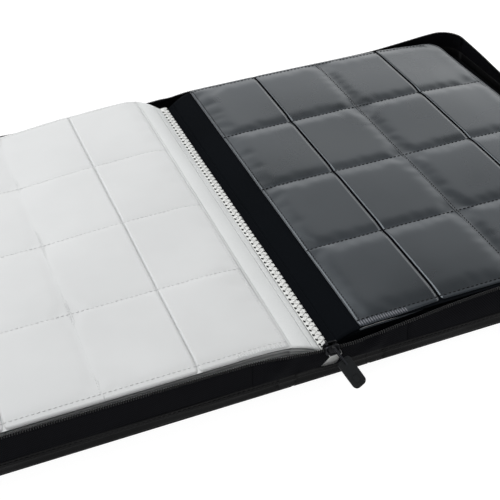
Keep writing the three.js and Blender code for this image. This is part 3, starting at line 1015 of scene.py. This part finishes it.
def lay_on_stack(obj, side):
    """Lifts each point of a flat stack to its share of the stack's true height."""
    at = np.empty(len(obj.data.vertices) * 3)
    obj.data.vertices.foreach_get("co", at)
    at = at.reshape(-1, 3) / MM
    share = (at[:, 2] - PAGE_BOTTOM) / (FLAT_TOP - PAGE_BOTTOM)
    true_height = page_top(side, np.abs(at[:, 0]), at[:, 1]) - 0.4 - PAGE_BOTTOM
    at[:, 2] = PAGE_BOTTOM + share * true_height
    obj.data.vertices.foreach_set("co", (at * MM).ravel())
    obj.data.update()


for side, name in SIDES:
    made = []
    for layer, inset, lift, thick in LAYERS:
        finish = (SHEET if layer == "sheets" else FILM)[side]
        leaf = flat_leaf(f"{name}_{layer}_leaf", side, inset, PAGE_BOTTOM + lift, thick, finish)
        start = path_object(f"{name}_stack_{layer}", [[(0, 0, 0), (0, 0, 1)]])
        stack = run_tree(start, stack_tree, Leaf=leaf, Count=LEAVES, Rise=RISE * MM, Slip=SLIP * MM,
                         Seed=5 + side, Material=finish)
        bpy.data.objects.remove(leaf)
        lay_on_stack(stack, side)
        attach(stack, f"{name}_leaves")
        made.append(stack)
    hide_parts(*[f"{name}_leaf_{i:02d}" for i in range(1, LEAVES + 1)])
print("stacks:", LEAVES, "leaves a side,", len(made[0].data.polygons), "faces in the sheets")

# %% [markdown]
# ## The top leaves
# The leaf on top of each stack is seen whole. Its divider sheet is a smooth surface over the stack, with the
# other colour on its back. The film on it comes in three strips: one pocket wide, two wide, one wide. Rows of
# stitching close the pockets across the page, one row down the middle strip closes two columns off, and the
# gaps between the strips are the pockets' mouths, where the bare sheet shows as a line.

# %% Divider sheets of the top leaves
top_sheets = []
for side, name in SIDES:
    top = sheet_from_rows(f"{name}_top_sheet", leaf_grid(side, -0.15), SHEET[side], 0.55)
    lower = [[(x, y, z - 0.62) for x, y, z in row] for row in leaf_grid(side, -0.1, inset=1.6)]
    back = sheet_from_rows(f"{name}_top_sheet_back", lower, SHEET[-side], 0.4)
    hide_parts(f"{name}_leaf_10")
    for piece, colour in ((top, side), (back, -side)):
        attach(piece, f"{name}_top_leaf")
        top_sheets.append(piece)
print("top sheets:", len(top.data.polygons), "faces each")

# %% [markdown]
# ## Pocket film, blown up and let go
# Loose film between stitched lines puffs a little and creases at the stitches. That is cloth that is held
# along its seams, so it is simulated: each strip is a fine grid, pinned along its stitches and free at the
# mouths, a touch larger than the sheet under it, lifted by a light upward pull. How far a point may move is
# capped, so the film stays close to its page.

# %% Film strips
LIFT = {-1: 0.1, 1: 0.45}
MOUTHS = {-1: 0.9, 1: MOUTH}
PUFF_LIMIT = {-1: 0.6, 1: 1.35}
# strip, its first and last column line, and the column lines that hold it down
STRIPS = [("inner", 0, 1, [0]), ("middle", 1, 3, [2]), ("outer", 3, 4, [4])]
MOUTH_COLUMNS = (1, 3)
FILM_CORNER, FILM_THICK = 16.5, 0.12


def dense_rows():
    """Places along the spine: even between stitch rows, closer beside each row."""
    spots = [FRONT_EDGE + 0.3]
    for a, b in zip(ROWS[:-1], ROWS[1:]):
        inner = np.linspace(a, b, 21)
        spots += [a, a + 1.1] + [float(v) for v in inner[1:-1]] + [b - 1.1]
    return np.array(spots + [ROWS[-1], BACK_EDGE - 0.3])


def film_front(side, out, y):
    """On the right page the film was cut a little askew: its front edge draws back away from the spine."""
    if side < 0 or y >= ROWS[0]:
        return y
    share = (ROWS[0] - y) / (ROWS[0] - FRONT_EDGE)
    return y + 3.0 * share * float(smoothstep(out, COLUMNS[0] + 20, COLUMNS[0] + 75))


def strip_rows(side, first, last):
    """Rows of points of a film strip between two column lines, half a gap back from each mouth."""
    gap = MOUTHS[side] / 2
    low = COLUMNS[first] + (gap if first in MOUTH_COLUMNS else 0.0)
    high = FILM_REACH if last == 4 else COLUMNS[last] - (gap if last in MOUTH_COLUMNS else 0.0)
    rows = []
    for y in dense_rows():
        end = float(rounded_reach(high, y, FILM_CORNER)) if last == 4 else high
        out = low + (end - low) * np.linspace(0, 1, 16 * (last - first))
        rows.append([(side * x, film_front(side, x, y), float(page_top(side, x, y)) + LIFT[side])
                     for x in out])
    return rows


def pocket_swell(rows, held):
    """A plain smooth swell for each pocket of a strip, from 0 at its seams to 1 in its middle."""
    wide = len(rows[0])
    place = np.repeat([row[-1][1] for row in rows], wide)
    swell = np.zeros(len(place))
    for a, b in zip(ROWS[:-1], ROWS[1:]):
        inside = (place > a) & (place < b)
        swell[inside] = np.sin(np.pi * (place[inside] - a) / (b - a))
    share = np.linspace(0.08, 0.92, wide) if held != [2] else np.abs(np.linspace(-0.92, 0.92, wide))
    return swell * np.tile(np.sin(np.pi * share), len(rows))


CLOTH = {
    "quality": 6, "mass": 0.12, "tension_stiffness": 14, "compression_stiffness": 14, "shear_stiffness": 6,
    "bending_stiffness": 3.0, "air_damping": 2.5,
    "shrink_min": -0.0035,  # negative: the film is that share larger than its grid
}
CLOTH_FRAMES = 24
PUSH_EVERY = 9  # rows from one random push to the next


def let_go(obj, held):
    """Runs the cloth simulation on a sheet that is pinned at its held points, and keeps the result."""
    obj.vertex_groups.new(name="held").add(held, 1.0, "REPLACE")
    cloth = obj.modifiers.new("cloth", "CLOTH")
    for key, value in CLOTH.items():
        setattr(cloth.settings, key, value)
    cloth.settings.vertex_group_mass = "held"
    cloth.settings.effector_weights.gravity = -0.10  # a light pull upwards
    cloth.collision_settings.use_collision = False
    cloth.collision_settings.use_self_collision = False
    cloth.point_cache.frame_start, cloth.point_cache.frame_end = 1, CLOTH_FRAMES
    for frame_number in range(1, CLOTH_FRAMES + 1):
        scene.frame_set(frame_number)
    bake_modifiers(obj)
    obj.vertex_groups.clear()
    scene.frame_set(1)


def puff_film(obj, side, rows, held, seed):
    """Cloth, pinned at rows and columns, with how far it moves capped."""
    ys = np.array([row[0][1] for row in rows])
    wide = len(rows[0])
    row_held = np.array([min(abs(y - r) for r in ROWS) < 0.01 or y < ROWS[0] or y > ROWS[-1] for y in ys])
    start = np.array([p for row in rows for p in row], float)
    columns = [{0: 0, 2: wide // 2, 4: wide - 1}[c] for c in held]
    rng = np.random.default_rng(seed)
    knots = np.arange(0, len(rows) + PUSH_EVERY, PUSH_EVERY)
    pushes = rng.normal(0, 0.1, len(rows) // PUSH_EVERY + 2)[:len(knots)]
    push = np.interp(np.arange(len(rows)), knots, pushes)
    for i, vertex in enumerate(obj.data.vertices):
        if not row_held[i // wide]:
            vertex.co.z += push[i // wide] * MM
    let_go(obj, [i * wide + j for i in range(len(rows)) for j in range(wide)
                 if row_held[i] or j in columns])
    shift = np.array([v.co for v in obj.data.vertices]) / MM - start
    shift[:, 2] = np.clip(shift[:, 2], -0.2, PUFF_LIMIT[side])
    shift[:, :2] = np.clip(shift[:, :2], -0.8, 0.8)
    # A free edge keeps level with the film beside it, so that no mouth curls up
    grid = shift.reshape(len(rows), wide, 3)
    if 0 not in held:
        grid[:, :2, 2] = grid[:, 2:3, 2]
    if 4 not in held:
        grid[:, -2:, 2] = grid[:, -3:-2, 2]
    for vertex, place in zip(obj.data.vertices, start + shift):
        vertex.co = Vector(tuple(place * MM))
    obj.data.update()
    return float(shift[:, 2].max())


top_leaf_pieces = list(top_sheets)
for side, name in SIDES:
    for index, (strip, first, last, held) in enumerate(STRIPS):
        rows = strip_rows(side, first, last)
        piece = sheet_from_rows(f"{name}_{strip}_pocket_film", rows, FILM[side], 0)
        rise = puff_film(piece, side, rows, held, 11 + index + 5 * side)
        add_modifier(piece, "SUBSURF", levels=1, render_levels=1)
        bake_modifiers(piece)
        thicken(piece, FILM_THICK)
        piece.data.shade_smooth()
        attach(piece, f"{name}_top_leaf")
        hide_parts(f"{name}_film_{strip}")
        top_leaf_pieces.append(piece)
        print(f"{piece.name}: rises {rise:.1f} mm, {len(piece.data.polygons)} faces")

# %% [markdown]
# ## Stitches on the pages
# Each row is lockstitched: short dark dashes with the film pinched between them. The rows across the page
# have long stitches, the lines along the spine finer ones. A welded edge runs beside the inner line, where
# film and sheet are melted together, and it catches the light; on the black page its lighter grey is a
# painted highlight, and so is that of the rim weld and the crimped front edge.

# %% Stitch lines and welded edges
def on_page(side, out, y, lift):
    return (side * out, y, float(page_top(side, out, y)) + lift)


def line_across(side, y, low, high, lift):
    return [on_page(side, x, y, lift) for x in np.linspace(low, high, int((high - low) / LINE_STEP))]


def line_along(side, x, low, high, lift):
    return [on_page(side, x, y, lift) for y in np.linspace(low, high, int((high - low) / LINE_STEP))]


def weld(name, line, wide, lift, material):
    """A thin flat ribbon of melted film along a line of points."""
    rows = []
    line = np.array(line)
    for at, way in zip(line, np.gradient(line, axis=0)):
        across = np.array([way[1], -way[0], 0]) / np.linalg.norm(way[:2]) * wide / 2
        rows.append([tuple(at - across + [0, 0, lift]), tuple(at + [0, 0, lift + 0.12]),
                     tuple(at + across + [0, 0, lift])])
    return sheet_from_rows(name, rows, material, 0.3)


def rim_line(side):
    """Just inside the film's outer edge, round both of its corners."""
    turns = [math.radians(d) for d in range(6, 66, 6)]
    radius = FILM_CORNER - 0.5
    front = [(a, FRONT_EDGE + FILM_CORNER - radius * math.sin(a)) for a in reversed(turns)]
    straight = [(0, y) for y in np.linspace(FRONT_EDGE + 17, BACK_EDGE - 17, 60)]
    back = [(a, BACK_EDGE - FILM_CORNER + radius * math.sin(a)) for a in turns]
    return [on_page(side, FILM_REACH - 0.5 - (radius - radius * math.cos(a)), y, 0)
            for a, y in front + straight + back]


LINE_STEP = 5.0
ROW_PITCH, LINE_PITCH, CRIMP_PITCH = 3.7, 3.1, 1.9
SEWN = [(0, 1), (1, 3), (3, 4)]
# How high thread, welds and rim lie above the film, and how wide the welds are
THREAD_LIFT, WELD_LIFT, RIM_LIFT = {-1: 0.12, 1: 0.5}, {-1: 0.1, 1: 0.35}, {-1: 0.05, 1: 0.3}
WELDS = ((COLUMNS[0] + 0.1, 0.3), (COLUMNS[2] - 0.6, 0.7))
crimp_shape = lens("crimp_shape", 0.9, 5.6, 0.5)
for side, name in SIDES:
    across = []
    for y in ROWS:
        for first, last in SEWN:
            low = COLUMNS[first] + (MOUTHS[side] / 2 + 0.8 if first in MOUTH_COLUMNS else 1.5)
            high = (FILM_REACH - 1.5 if last == 4 else COLUMNS[last]) - (MOUTHS[side] / 2 + 0.8)
            if y in (ROWS[0], ROWS[4]) and last == 4:
                high -= 10
            across.append(line_across(side, y, low, high, LIFT[side] + 0.12))
    high_thread = LIFT[side] + THREAD_LIFT[side]
    along = [line_along(side, COLUMNS[c] + out, ROWS[0] + 2, ROWS[4] - 2, high_thread)
             for c, out in ((0, 2.6), (2, 0.6))]
    along.append(line_along(side, FILM_REACH - 3.4, ROWS[0] + 14, ROWS[4] - 14, high_thread))
    rows_piece = row_of(f"{name}_row_stitches", stitch_shape, across, ROW_PITCH, THREAD[side], 0.06, 3)
    lines_piece = row_of(f"{name}_line_stitches", small_stitch_shape, along, LINE_PITCH, THREAD[side], 0.12,
                         4)
    made = [rows_piece, lines_piece]
    for index, (x, wide) in enumerate(WELDS):
        line = line_along(side, x, FRONT_EDGE + 0.6, BACK_EDGE - 0.6, 0)
        made.append(weld(f"{name}_weld_{index}", line, wide, LIFT[side] + WELD_LIFT[side], WELD[side]))
    made.append(weld(f"{name}_weld_rim", rim_line(side), 0.7, LIFT[side] + RIM_LIFT[side], WELD[side]))
    crimps = [line_across(side, ROWS[0] - 3.6, COLUMNS[0] + 1, COLUMNS[0] + 38, LIFT[side] + 0.2)]
    made.append(row_of(f"{name}_crimped_edge", crimp_shape, crimps, CRIMP_PITCH, CRIMP[side], 0.05, 6))
    for piece in made:
        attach(piece, f"{name}_top_leaf")
        top_leaf_pieces.append(piece)
print("stitches:", len(rows_piece.data.polygons) + len(lines_piece.data.polygons), "faces a page")

# %% [markdown]
# ## Pockets that only show when a leaf is turned
# A leaf has pockets on both its faces, and the leaf below it has them too. Nothing of them is seen while the
# binder lies open, so they are plainer: film strips with an even swell in each pocket, and their stitch rows.

# %% Hidden pockets
def under_leaf(side, out, y):
    """The underside of the top leaf."""
    return page_top(side, out, y) - 1.3


def next_leaf(side, out, y):
    """The top of the stack that is left when the top leaf has been turned."""
    share = (PAGE_BOTTOM + 1.45 + (LEAVES - 1) * RISE - PAGE_BOTTOM) / (FLAT_TOP - PAGE_BOTTOM)
    return PAGE_BOTTOM + share * (page_top(side, out, y) - 0.4 - PAGE_BOTTOM) + 0.4


def plain_pockets(label, side, height, facing, colour, body):
    """Three film strips and their stitch rows on a face of a leaf, facing up (1) or down (-1). The colour is
    the side whose sheet the face shows."""
    made = []
    for strip, first, last, held in STRIPS:
        rows = strip_rows(side, first, last)
        swell = pocket_swell(rows, held).reshape(len(rows), -1) * 0.6 * facing
        rows = [[(x, y, float(height(side, abs(x), y)) + rise) for (x, y, z), rise in zip(row, lift)]
                for row, lift in zip(rows, swell)]
        made.append(sheet_from_rows(f"{label}_{strip}_film", rows, FILM[colour], 0, facing > 0))
        thicken(made[-1], FILM_THICK)
    lines = []
    for y in ROWS:
        for first, last in SEWN:
            low, high = COLUMNS[first] + 3, min(COLUMNS[last], FILM_REACH - 12) - 3
            lines.append([(side * x, y, float(height(side, x, y)) + 0.2 * facing)
                          for x in np.linspace(low, high, 14)])
    made.append(row_of(f"{label}_stitches", stitch_shape, lines, ROW_PITCH, THREAD[colour], 0.06, 8))
    for piece in made:
        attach(piece, body)
    return made


for side, name in SIDES:
    top_leaf_pieces += plain_pockets(f"{name}_under_leaf", side, under_leaf, -1, -side, f"{name}_top_leaf")
    plain_pockets(f"{name}_next_leaf", side, next_leaf, 1, side, f"{name}_leaves")
print("hidden pockets:", 2 * len(STRIPS), "strips a side")

# %% [markdown]
# ## The top leaf's pieces get their own meshes
# A leaf is soft: at rest it lies over the swell of its own stack, and when it is turned it settles flat on
# the leaf opposite. Here each piece of a top leaf is only given a mesh of its own.

# %% Own meshes for the top leaf pieces
for piece in top_leaf_pieces:
    name = piece.name.split("_")[0]
    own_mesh(piece)
print("pieces that flatten:", len(top_leaf_pieces))

# %% [markdown]
# ## Gutters
# Between its stitched edge and the binding each leaf runs on as bare sheet and bends down into the spine. The
# top leaf's gutter is two pieces, split a little out from the spine: its root, and the rest out to the page.
# Below it the other leaves fan into the binding one over another.

# %% Gutters
def root_curve(side, y, share, count=14):
    """From the binding's edge out to the page's edge, for a leaf at that share of the stack's height."""
    curve = []
    root = PAGE_BOTTOM + 0.6 + share * (float(page_top(side, STRIP_X, y)) - PAGE_BOTTOM - 0.6)
    for out in np.linspace(STRIP_X - 0.4, PAGE_X0 + 2.4, count):
        top = float(page_top(side, out, y))
        level = PAGE_BOTTOM + share * (top - PAGE_BOTTOM)
        near = float(smoothstep(STRIP_X + 12 - out, 0, 12)) * (1 - share)
        curve.append((side * out, y, level * (1 - near) + min(level, root) * near))
    return curve


GUTTER_SPLIT = 9.0
GUTTER_Y = np.concatenate([np.linspace(FRONT_EDGE, -150, 12), np.linspace(-150, 150, 40)[1:-1],
                           np.linspace(150, BACK_EDGE, 12)])
for side, name in SIDES:
    rows = [[(x, y, z - 0.2) for x, y, z in root_curve(side, y, 1.0, 22)] for y in GUTTER_Y]
    split = next(i for i, (x, y, z) in enumerate(rows[0]) if abs(x) > GUTTER_SPLIT)
    root = sheet_from_rows(f"{name}_gutter_root", [row[:split + 1] for row in rows], SHEET[side], 0.5)
    top = sheet_from_rows(f"{name}_top_gutter", [row[split:] for row in rows], SHEET[side], 0.5)
    points, faces = [], []
    for leaf in range(LEAVES):
        rows = [root_curve(side, y, (leaf + 0.45) / (LEAVES + 0.9), 12) for y in GUTTER_Y[::3]]
        faces += grid_faces(len(rows), len(rows[0]), len(points))
        points += [p for row in rows for p in row]
    fan = new_piece(f"{name}_leaf_roots", points, faces, SHEET[side])
    if fan.data.polygons[0].normal.z < 0:
        fan.data.flip_normals()
    thicken(fan, 0.6)
    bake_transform(root)
    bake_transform(top)
    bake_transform(fan)
print("gutters:", len(top.data.polygons), "faces each, over", LEAVES, "leaf roots")

# %% [markdown]
# ## The binding strip
# A white web covers the place where all the leaves are sewn together. It is sewn down with a zigzag: a thread
# that swings from side to side and dives through a hole at each swing, larger holes along the left, smaller
# ones along the right. The first and last stitches are doubled back into short bars.

# %% Binding strip
STITCH_PITCH = 5.4
HOLE_LEFT, HOLE_RIGHT = -2.5, 1.5
WEB_FRONT, WEB_BACK, WEB_CROWN = 18.0, 15.0, 0.5  # its height at both ends, and how much higher its middle is


def strip_top(x, y):
    """Height of the web: it follows the leaves' roots and crowns a little in its middle."""
    t = float(smoothstep(y, FRONT_UNTIL, BACK_FROM))
    crown = WEB_CROWN * (1 - (x / STRIP_X) ** 2)
    return WEB_FRONT * (1 - t) + WEB_BACK * t + crown + 0.15 * math.sin(y / 17)


WEB_X = np.linspace(-STRIP_X - 0.4, HOLE_RIGHT + 1.3, 9)
rows = []
for y in np.linspace(-PAGE_Y - 2.5, PAGE_Y, 160):
    pull = 0.35 * math.sin(2 * math.pi * y / STITCH_PITCH)  # each stitch draws the edges in a little
    rows.append([(x * (1 + 0.06 * pull), y, strip_top(x, y) + 0.4) for x in WEB_X])
web = sheet_from_rows("binding_web_strip", rows, binding_web, 0.9)
core = sweep("binding_core", [[(-3, y, PAGE_BOTTOM), (3, y, PAGE_BOTTOM), (3, y, strip_top(3, y) - 0.6),
                               (-3, y, strip_top(-3, y) - 0.6)] for y in np.linspace(-PAGE_Y, PAGE_Y, 30)],
             binding_core)
tail = sheet_from_rows("binding_web_tail", [
    [(x * (0.55 + 0.45 * t), -PAGE_Y - 2.5 - 5.4 * t**0.8, 18.2 - 13.6 * t + 0.3 * math.sin(x))
     for x in np.linspace(-15, 15, 26)] for t in np.linspace(0, 1, 9)], binding_web, 0.8)
stops = np.arange(-PAGE_Y + 3, PAGE_Y - 2, STITCH_PITCH)
HOLE_MIDDLE = (HOLE_LEFT + HOLE_RIGHT) / 2
zigzag = []
for y in stops:
    zigzag += [(HOLE_LEFT, y, strip_top(HOLE_LEFT, y) + 0.5),
               (HOLE_MIDDLE, y + STITCH_PITCH * 0.25, strip_top(0, y) + 0.8),
               (HOLE_RIGHT, y + STITCH_PITCH * 0.5, strip_top(HOLE_RIGHT, y) + 0.5),
               (HOLE_MIDDLE, y + STITCH_PITCH * 0.75, strip_top(0, y) + 0.8)]
thread = thread_of("binding_zigzag", [zigzag], 0.42, white_thread)


def hole_dashes(x, offset, slant, length=0.05):
    """Short lines, one for each hole, that the row tree sets a single hole on."""
    return [[(x, y, strip_top(x, y) + 0.5), (x + slant * length, y + length, strip_top(x, y) + 0.5)]
            for y in stops + offset]


left_holes = row_of("binding_holes_left", hole_shape, hole_dashes(HOLE_LEFT - 0.35, -0.7, -0.35), 1.0,
                    shadow_hole, 0.2, 2)
right_holes = row_of("binding_holes_right", small_hole_shape,
                     hole_dashes(HOLE_RIGHT + 0.5, STITCH_PITCH / 2 - 0.5, -0.5), 1.0, shadow_hole, 0.3, 9)
bar_left, bar_right = (strip_top(x, -187) + 0.55 for x in (0, 1))
bars = row_of("binding_end_bars", hole_shape, [
    [(-2.4, -PAGE_Y - 0.6, bar_left), (0.0, -PAGE_Y - 1.2, bar_left)],
    [(1.6, -PAGE_Y - 0.4, bar_right), (1.9, -PAGE_Y + 2.4, bar_right)],
], 1.4, shadow_hole, 0.05)
for piece, slot in ((web, "binding_web"), (core, "binding_core"), (tail, "binding_web"),
                    (thread, "white_thread"), (left_holes, "binding_web"), (right_holes, "binding_web"),
                    (bars, "binding_web")):
    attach(piece, "spine")
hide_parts("binding_tape")
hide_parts("zigzag_thread")
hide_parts("binding_block")
print("binding strip:", len(stops), "stitches")

# %% [markdown]
# ## Slider, stop and link
# These are small castings with broken edges. The frame's own solids have the right size and place, so each
# piece starts as a copy of one: its loose triangles are merged, flat faces are joined again, and a bevel
# breaks the edges. The slider hangs a little lower than its solid, as its weight pulls the slack tape down.

# %% Castings from the frame
SLIDER_DROP = 3.6


def casting(name, node, bevel):
    """A copy of a frame node with merged points and bevelled edges."""
    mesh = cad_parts[node].data.copy()
    mesh.name = name
    obj = bpy.data.objects.new(name, mesh)
    scene.collection.objects.link(obj)
    work = bmesh.new()
    work.from_mesh(mesh)
    bmesh.ops.remove_doubles(work, verts=work.verts, dist=0.02 * MM)
    bmesh.ops.dissolve_limit(work, angle_limit=math.radians(3), verts=work.verts, edges=work.edges)
    bmesh.ops.recalc_face_normals(work, faces=work.faces)
    work.to_mesh(mesh)
    work.free()
    add_modifier(obj, "BEVEL", width=bevel * MM, segments=3, limit_method="ANGLE",
                 angle_limit=math.radians(32))
    bake_modifiers(obj)
    obj.data.materials.clear()
    obj.data.materials.append(gun_metal)
    return obj


for name, node, bevel, body in (("slider_casting", "zip_slider", 0.28, "slider"),
                                ("stop_casting", "zip_stop", 0.2, "zip_end"),
                                ("puller_link", "pull_link", 0.22, "puller")):
    piece = casting(name, node, bevel)
    if body == "slider":
        piece.data.transform(Matrix.Translation((0, 0, -SLIDER_DROP * MM)))
        slider = piece
    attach(piece, body)
    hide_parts(node)
print("slider casting:", len(slider.data.polygons), "faces")

# %% [markdown]
# ## The rubber puller
# The puller is a flat tongue of soft rubber moulded round the link. Its long sides run straight, its corners
# are well rounded, and its rim stands a little above its face. A shallow plain oval is pressed in near its
# free end. The tongue is built from outlines stacked through its thickness, in its own axes, and then turned
# to where the frame's puller hangs.

# %% Rubber puller
TAB_TOP, TAB_END, TAB_WIDE, TAB_THICK = -8.8, -32.5, 10.8, 2.6
HANG = (Matrix.Translation((0, -203, 29)) @ Matrix.Rotation(math.radians(-32), 4, "X")
        @ Matrix.Rotation(math.radians(-24), 4, "Y"))


def tongue_outline(inset, count=48):
    """A rounded rectangle with small corners by the link and large ones at the free end."""
    points = []
    wide, top, end = TAB_WIDE / 2 - inset, TAB_TOP - inset, TAB_END + inset
    corners = ((wide, end, 3.6, -90), (wide, top, 2.2, 0), (-wide, top, 2.2, 90), (-wide, end, 3.6, 180))
    for x, z, radius, start in corners:
        radius = max(radius - inset, 0.3)
        cx = x - math.copysign(radius, x)
        cz = z + radius if z == end else z - radius
        for a in np.linspace(start, start + 90, count // 4):
            points.append((cx + radius * math.cos(math.radians(a)), cz + radius * math.sin(math.radians(a))))
    return points


half = TAB_THICK / 2
# Outlines from the outer face to the back: how far inside the tongue's edge, and how deep
OUTLINES = [(1.25, -half + 0.35), (0.9, -half + 0.1), (0.45, -half), (0.12, -half + 0.25), (0.0, -half + 0.6),
            (0.0, half - 0.6), (0.12, half - 0.25), (0.45, half), (0.95, half), (1.25, half - 0.3),
            (3.0, half - 0.35)]
stations = [[tuple(HANG @ Vector((x, depth, z))) for x, z in tongue_outline(inset)]
            for inset, depth in OUTLINES]
tab = sweep("rubber_tongue", stations, puller_rubber)
add_modifier(tab, "SUBSURF", levels=1, render_levels=1)
bake_modifiers(tab)

# The rim round the pressed oval, on the tongue's outer face
oval = [tuple(HANG @ Vector((2.6 * math.cos(a), -half + 0.32, TAB_END + 6.5 + 3.3 * math.sin(a))))
        for a in np.linspace(0, 2 * math.pi, 33)]
rim = thread_of("tongue_oval_rim", [oval], 0.28, puller_rubber)
for piece in (tab, rim):
    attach(piece, "puller")
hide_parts("rubber_puller")
print("puller tongue:", len(tab.data.polygons), "faces")

# %% [markdown]
# ## Folds of the outer skin
# Spine and covers are one wrap of leatherette, with only a thin gap between the boards. Narrow strips cross
# that gap outside and inside.

# %% Fold strips
FOLDS = (
    # layer, its underside and top, where it starts and ends, its finish and slot, and how far it runs
    ("skin", 0.02, 0.82, FOLD_X - 1.0, FOLD_X + 2.2, leatherette, "leatherette", OUTER_Y - 0.3),
    ("lining", 3.35, 3.85, FOLD_X - 4.8, FOLD_X + 1.9, lining_cloth, "lining_cloth", OUTER_Y - 3.0),
)
for side, name in SIDES:
    for layer, low, high, inner, outer, finish, slot, reach in FOLDS:
        sink = 0.25 if layer == "lining" else 0.0
        rows = [[(side * x, y, high - sink * math.sin(math.pi * t))
                 for t, x in zip(np.linspace(0, 1, 9), np.linspace(inner, outer, 9))]
                for y in np.linspace(-reach, reach, 90)]
        strip = sheet_from_rows(f"{name}_fold_{layer}", rows, finish, high - low)
        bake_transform(strip)
print("fold strips:", len(SIDES) * len(FOLDS))

# %% [markdown]
# ## Floor, light and the view transform
# The binder lies on a white sweep that reaches past the view on every side, under one large soft light from
# above and behind and a white room. The Standard view transform keeps the white of the room white.

# %% Stage and light
SWEEP = np.linspace(-4000, 4000, 9)
floor = sheet_from_rows("white_sweep", [[(x, y, -0.05) for x in SWEEP] for y in SWEEP], None, 0)
material, tree, where = start_material("white_sweep_paper")
paper = add_node(tree, "ShaderNodeTexNoise", None, Vector=where, Scale=per_mm(30), Detail=4.0)
colour = add_node(tree, "ShaderNodeMix", RGBA, i0=paper.outputs[0], i6=linear("#868686"),
                  i7=linear("#8e8e8e"))
floor.data.materials.append(principled(
    material, Base_Color=colour.outputs[2], Roughness=0.95, Specular_IOR_Level=0.0,
    Emission_Color=linear("#ffffff"), Emission_Strength=0.9))

# The room is bright below the horizon and dimmer above, so that glossy film shows a soft gradient
world = bpy.data.worlds.new("white_room")
scene.world = world
world.use_nodes = True
tree = world.node_tree
tree.nodes.clear()
towards = add_node(tree, "ShaderNodeTexCoord").outputs["Generated"]
height = add_node(tree, "ShaderNodeSeparateXYZ", None, Vector=towards).outputs[2]
ramp = add_node(tree, "ShaderNodeMapRange", None, Value=height, From_Min=0.42, From_Max=0.66, To_Min=1.5,
                To_Max=0.28)
room = add_node(tree, "ShaderNodeBackground", None, Color=(1, 1, 1, 1), Strength=ramp.outputs[0])
add_node(tree, "ShaderNodeOutputWorld", None, Surface=room.outputs[0])


def soft_light(name, place, aim, size, power):
    """A square area light, in metres and watts."""
    lamp = bpy.data.objects.new(name, bpy.data.lights.new(name, "AREA"))
    lamp.data.shape = "RECTANGLE"
    lamp.data.size, lamp.data.size_y = size
    lamp.data.energy = power
    scene.collection.objects.link(lamp)
    lamp.location = place
    lamp.rotation_euler = (Vector(aim) - Vector(place)).to_track_quat("-Z", "Y").to_euler()
    return lamp


soft_light("top_softbox", (-0.7, 0.9, 1.6), (0, 0, 0), (1.6, 1.2), 24)
scene.view_settings.view_transform = "Standard"
scene.view_settings.look = "None"

# %% [markdown]
# ## Clear the helper shapes and finish
# The small shapes were only there to be repeated, and they are removed.

# %% Remove the helper shapes
for shape in (stitch_shape, small_stitch_shape, hole_shape, small_hole_shape, tooth_shape, crimp_shape):
    bpy.data.objects.remove(shape)
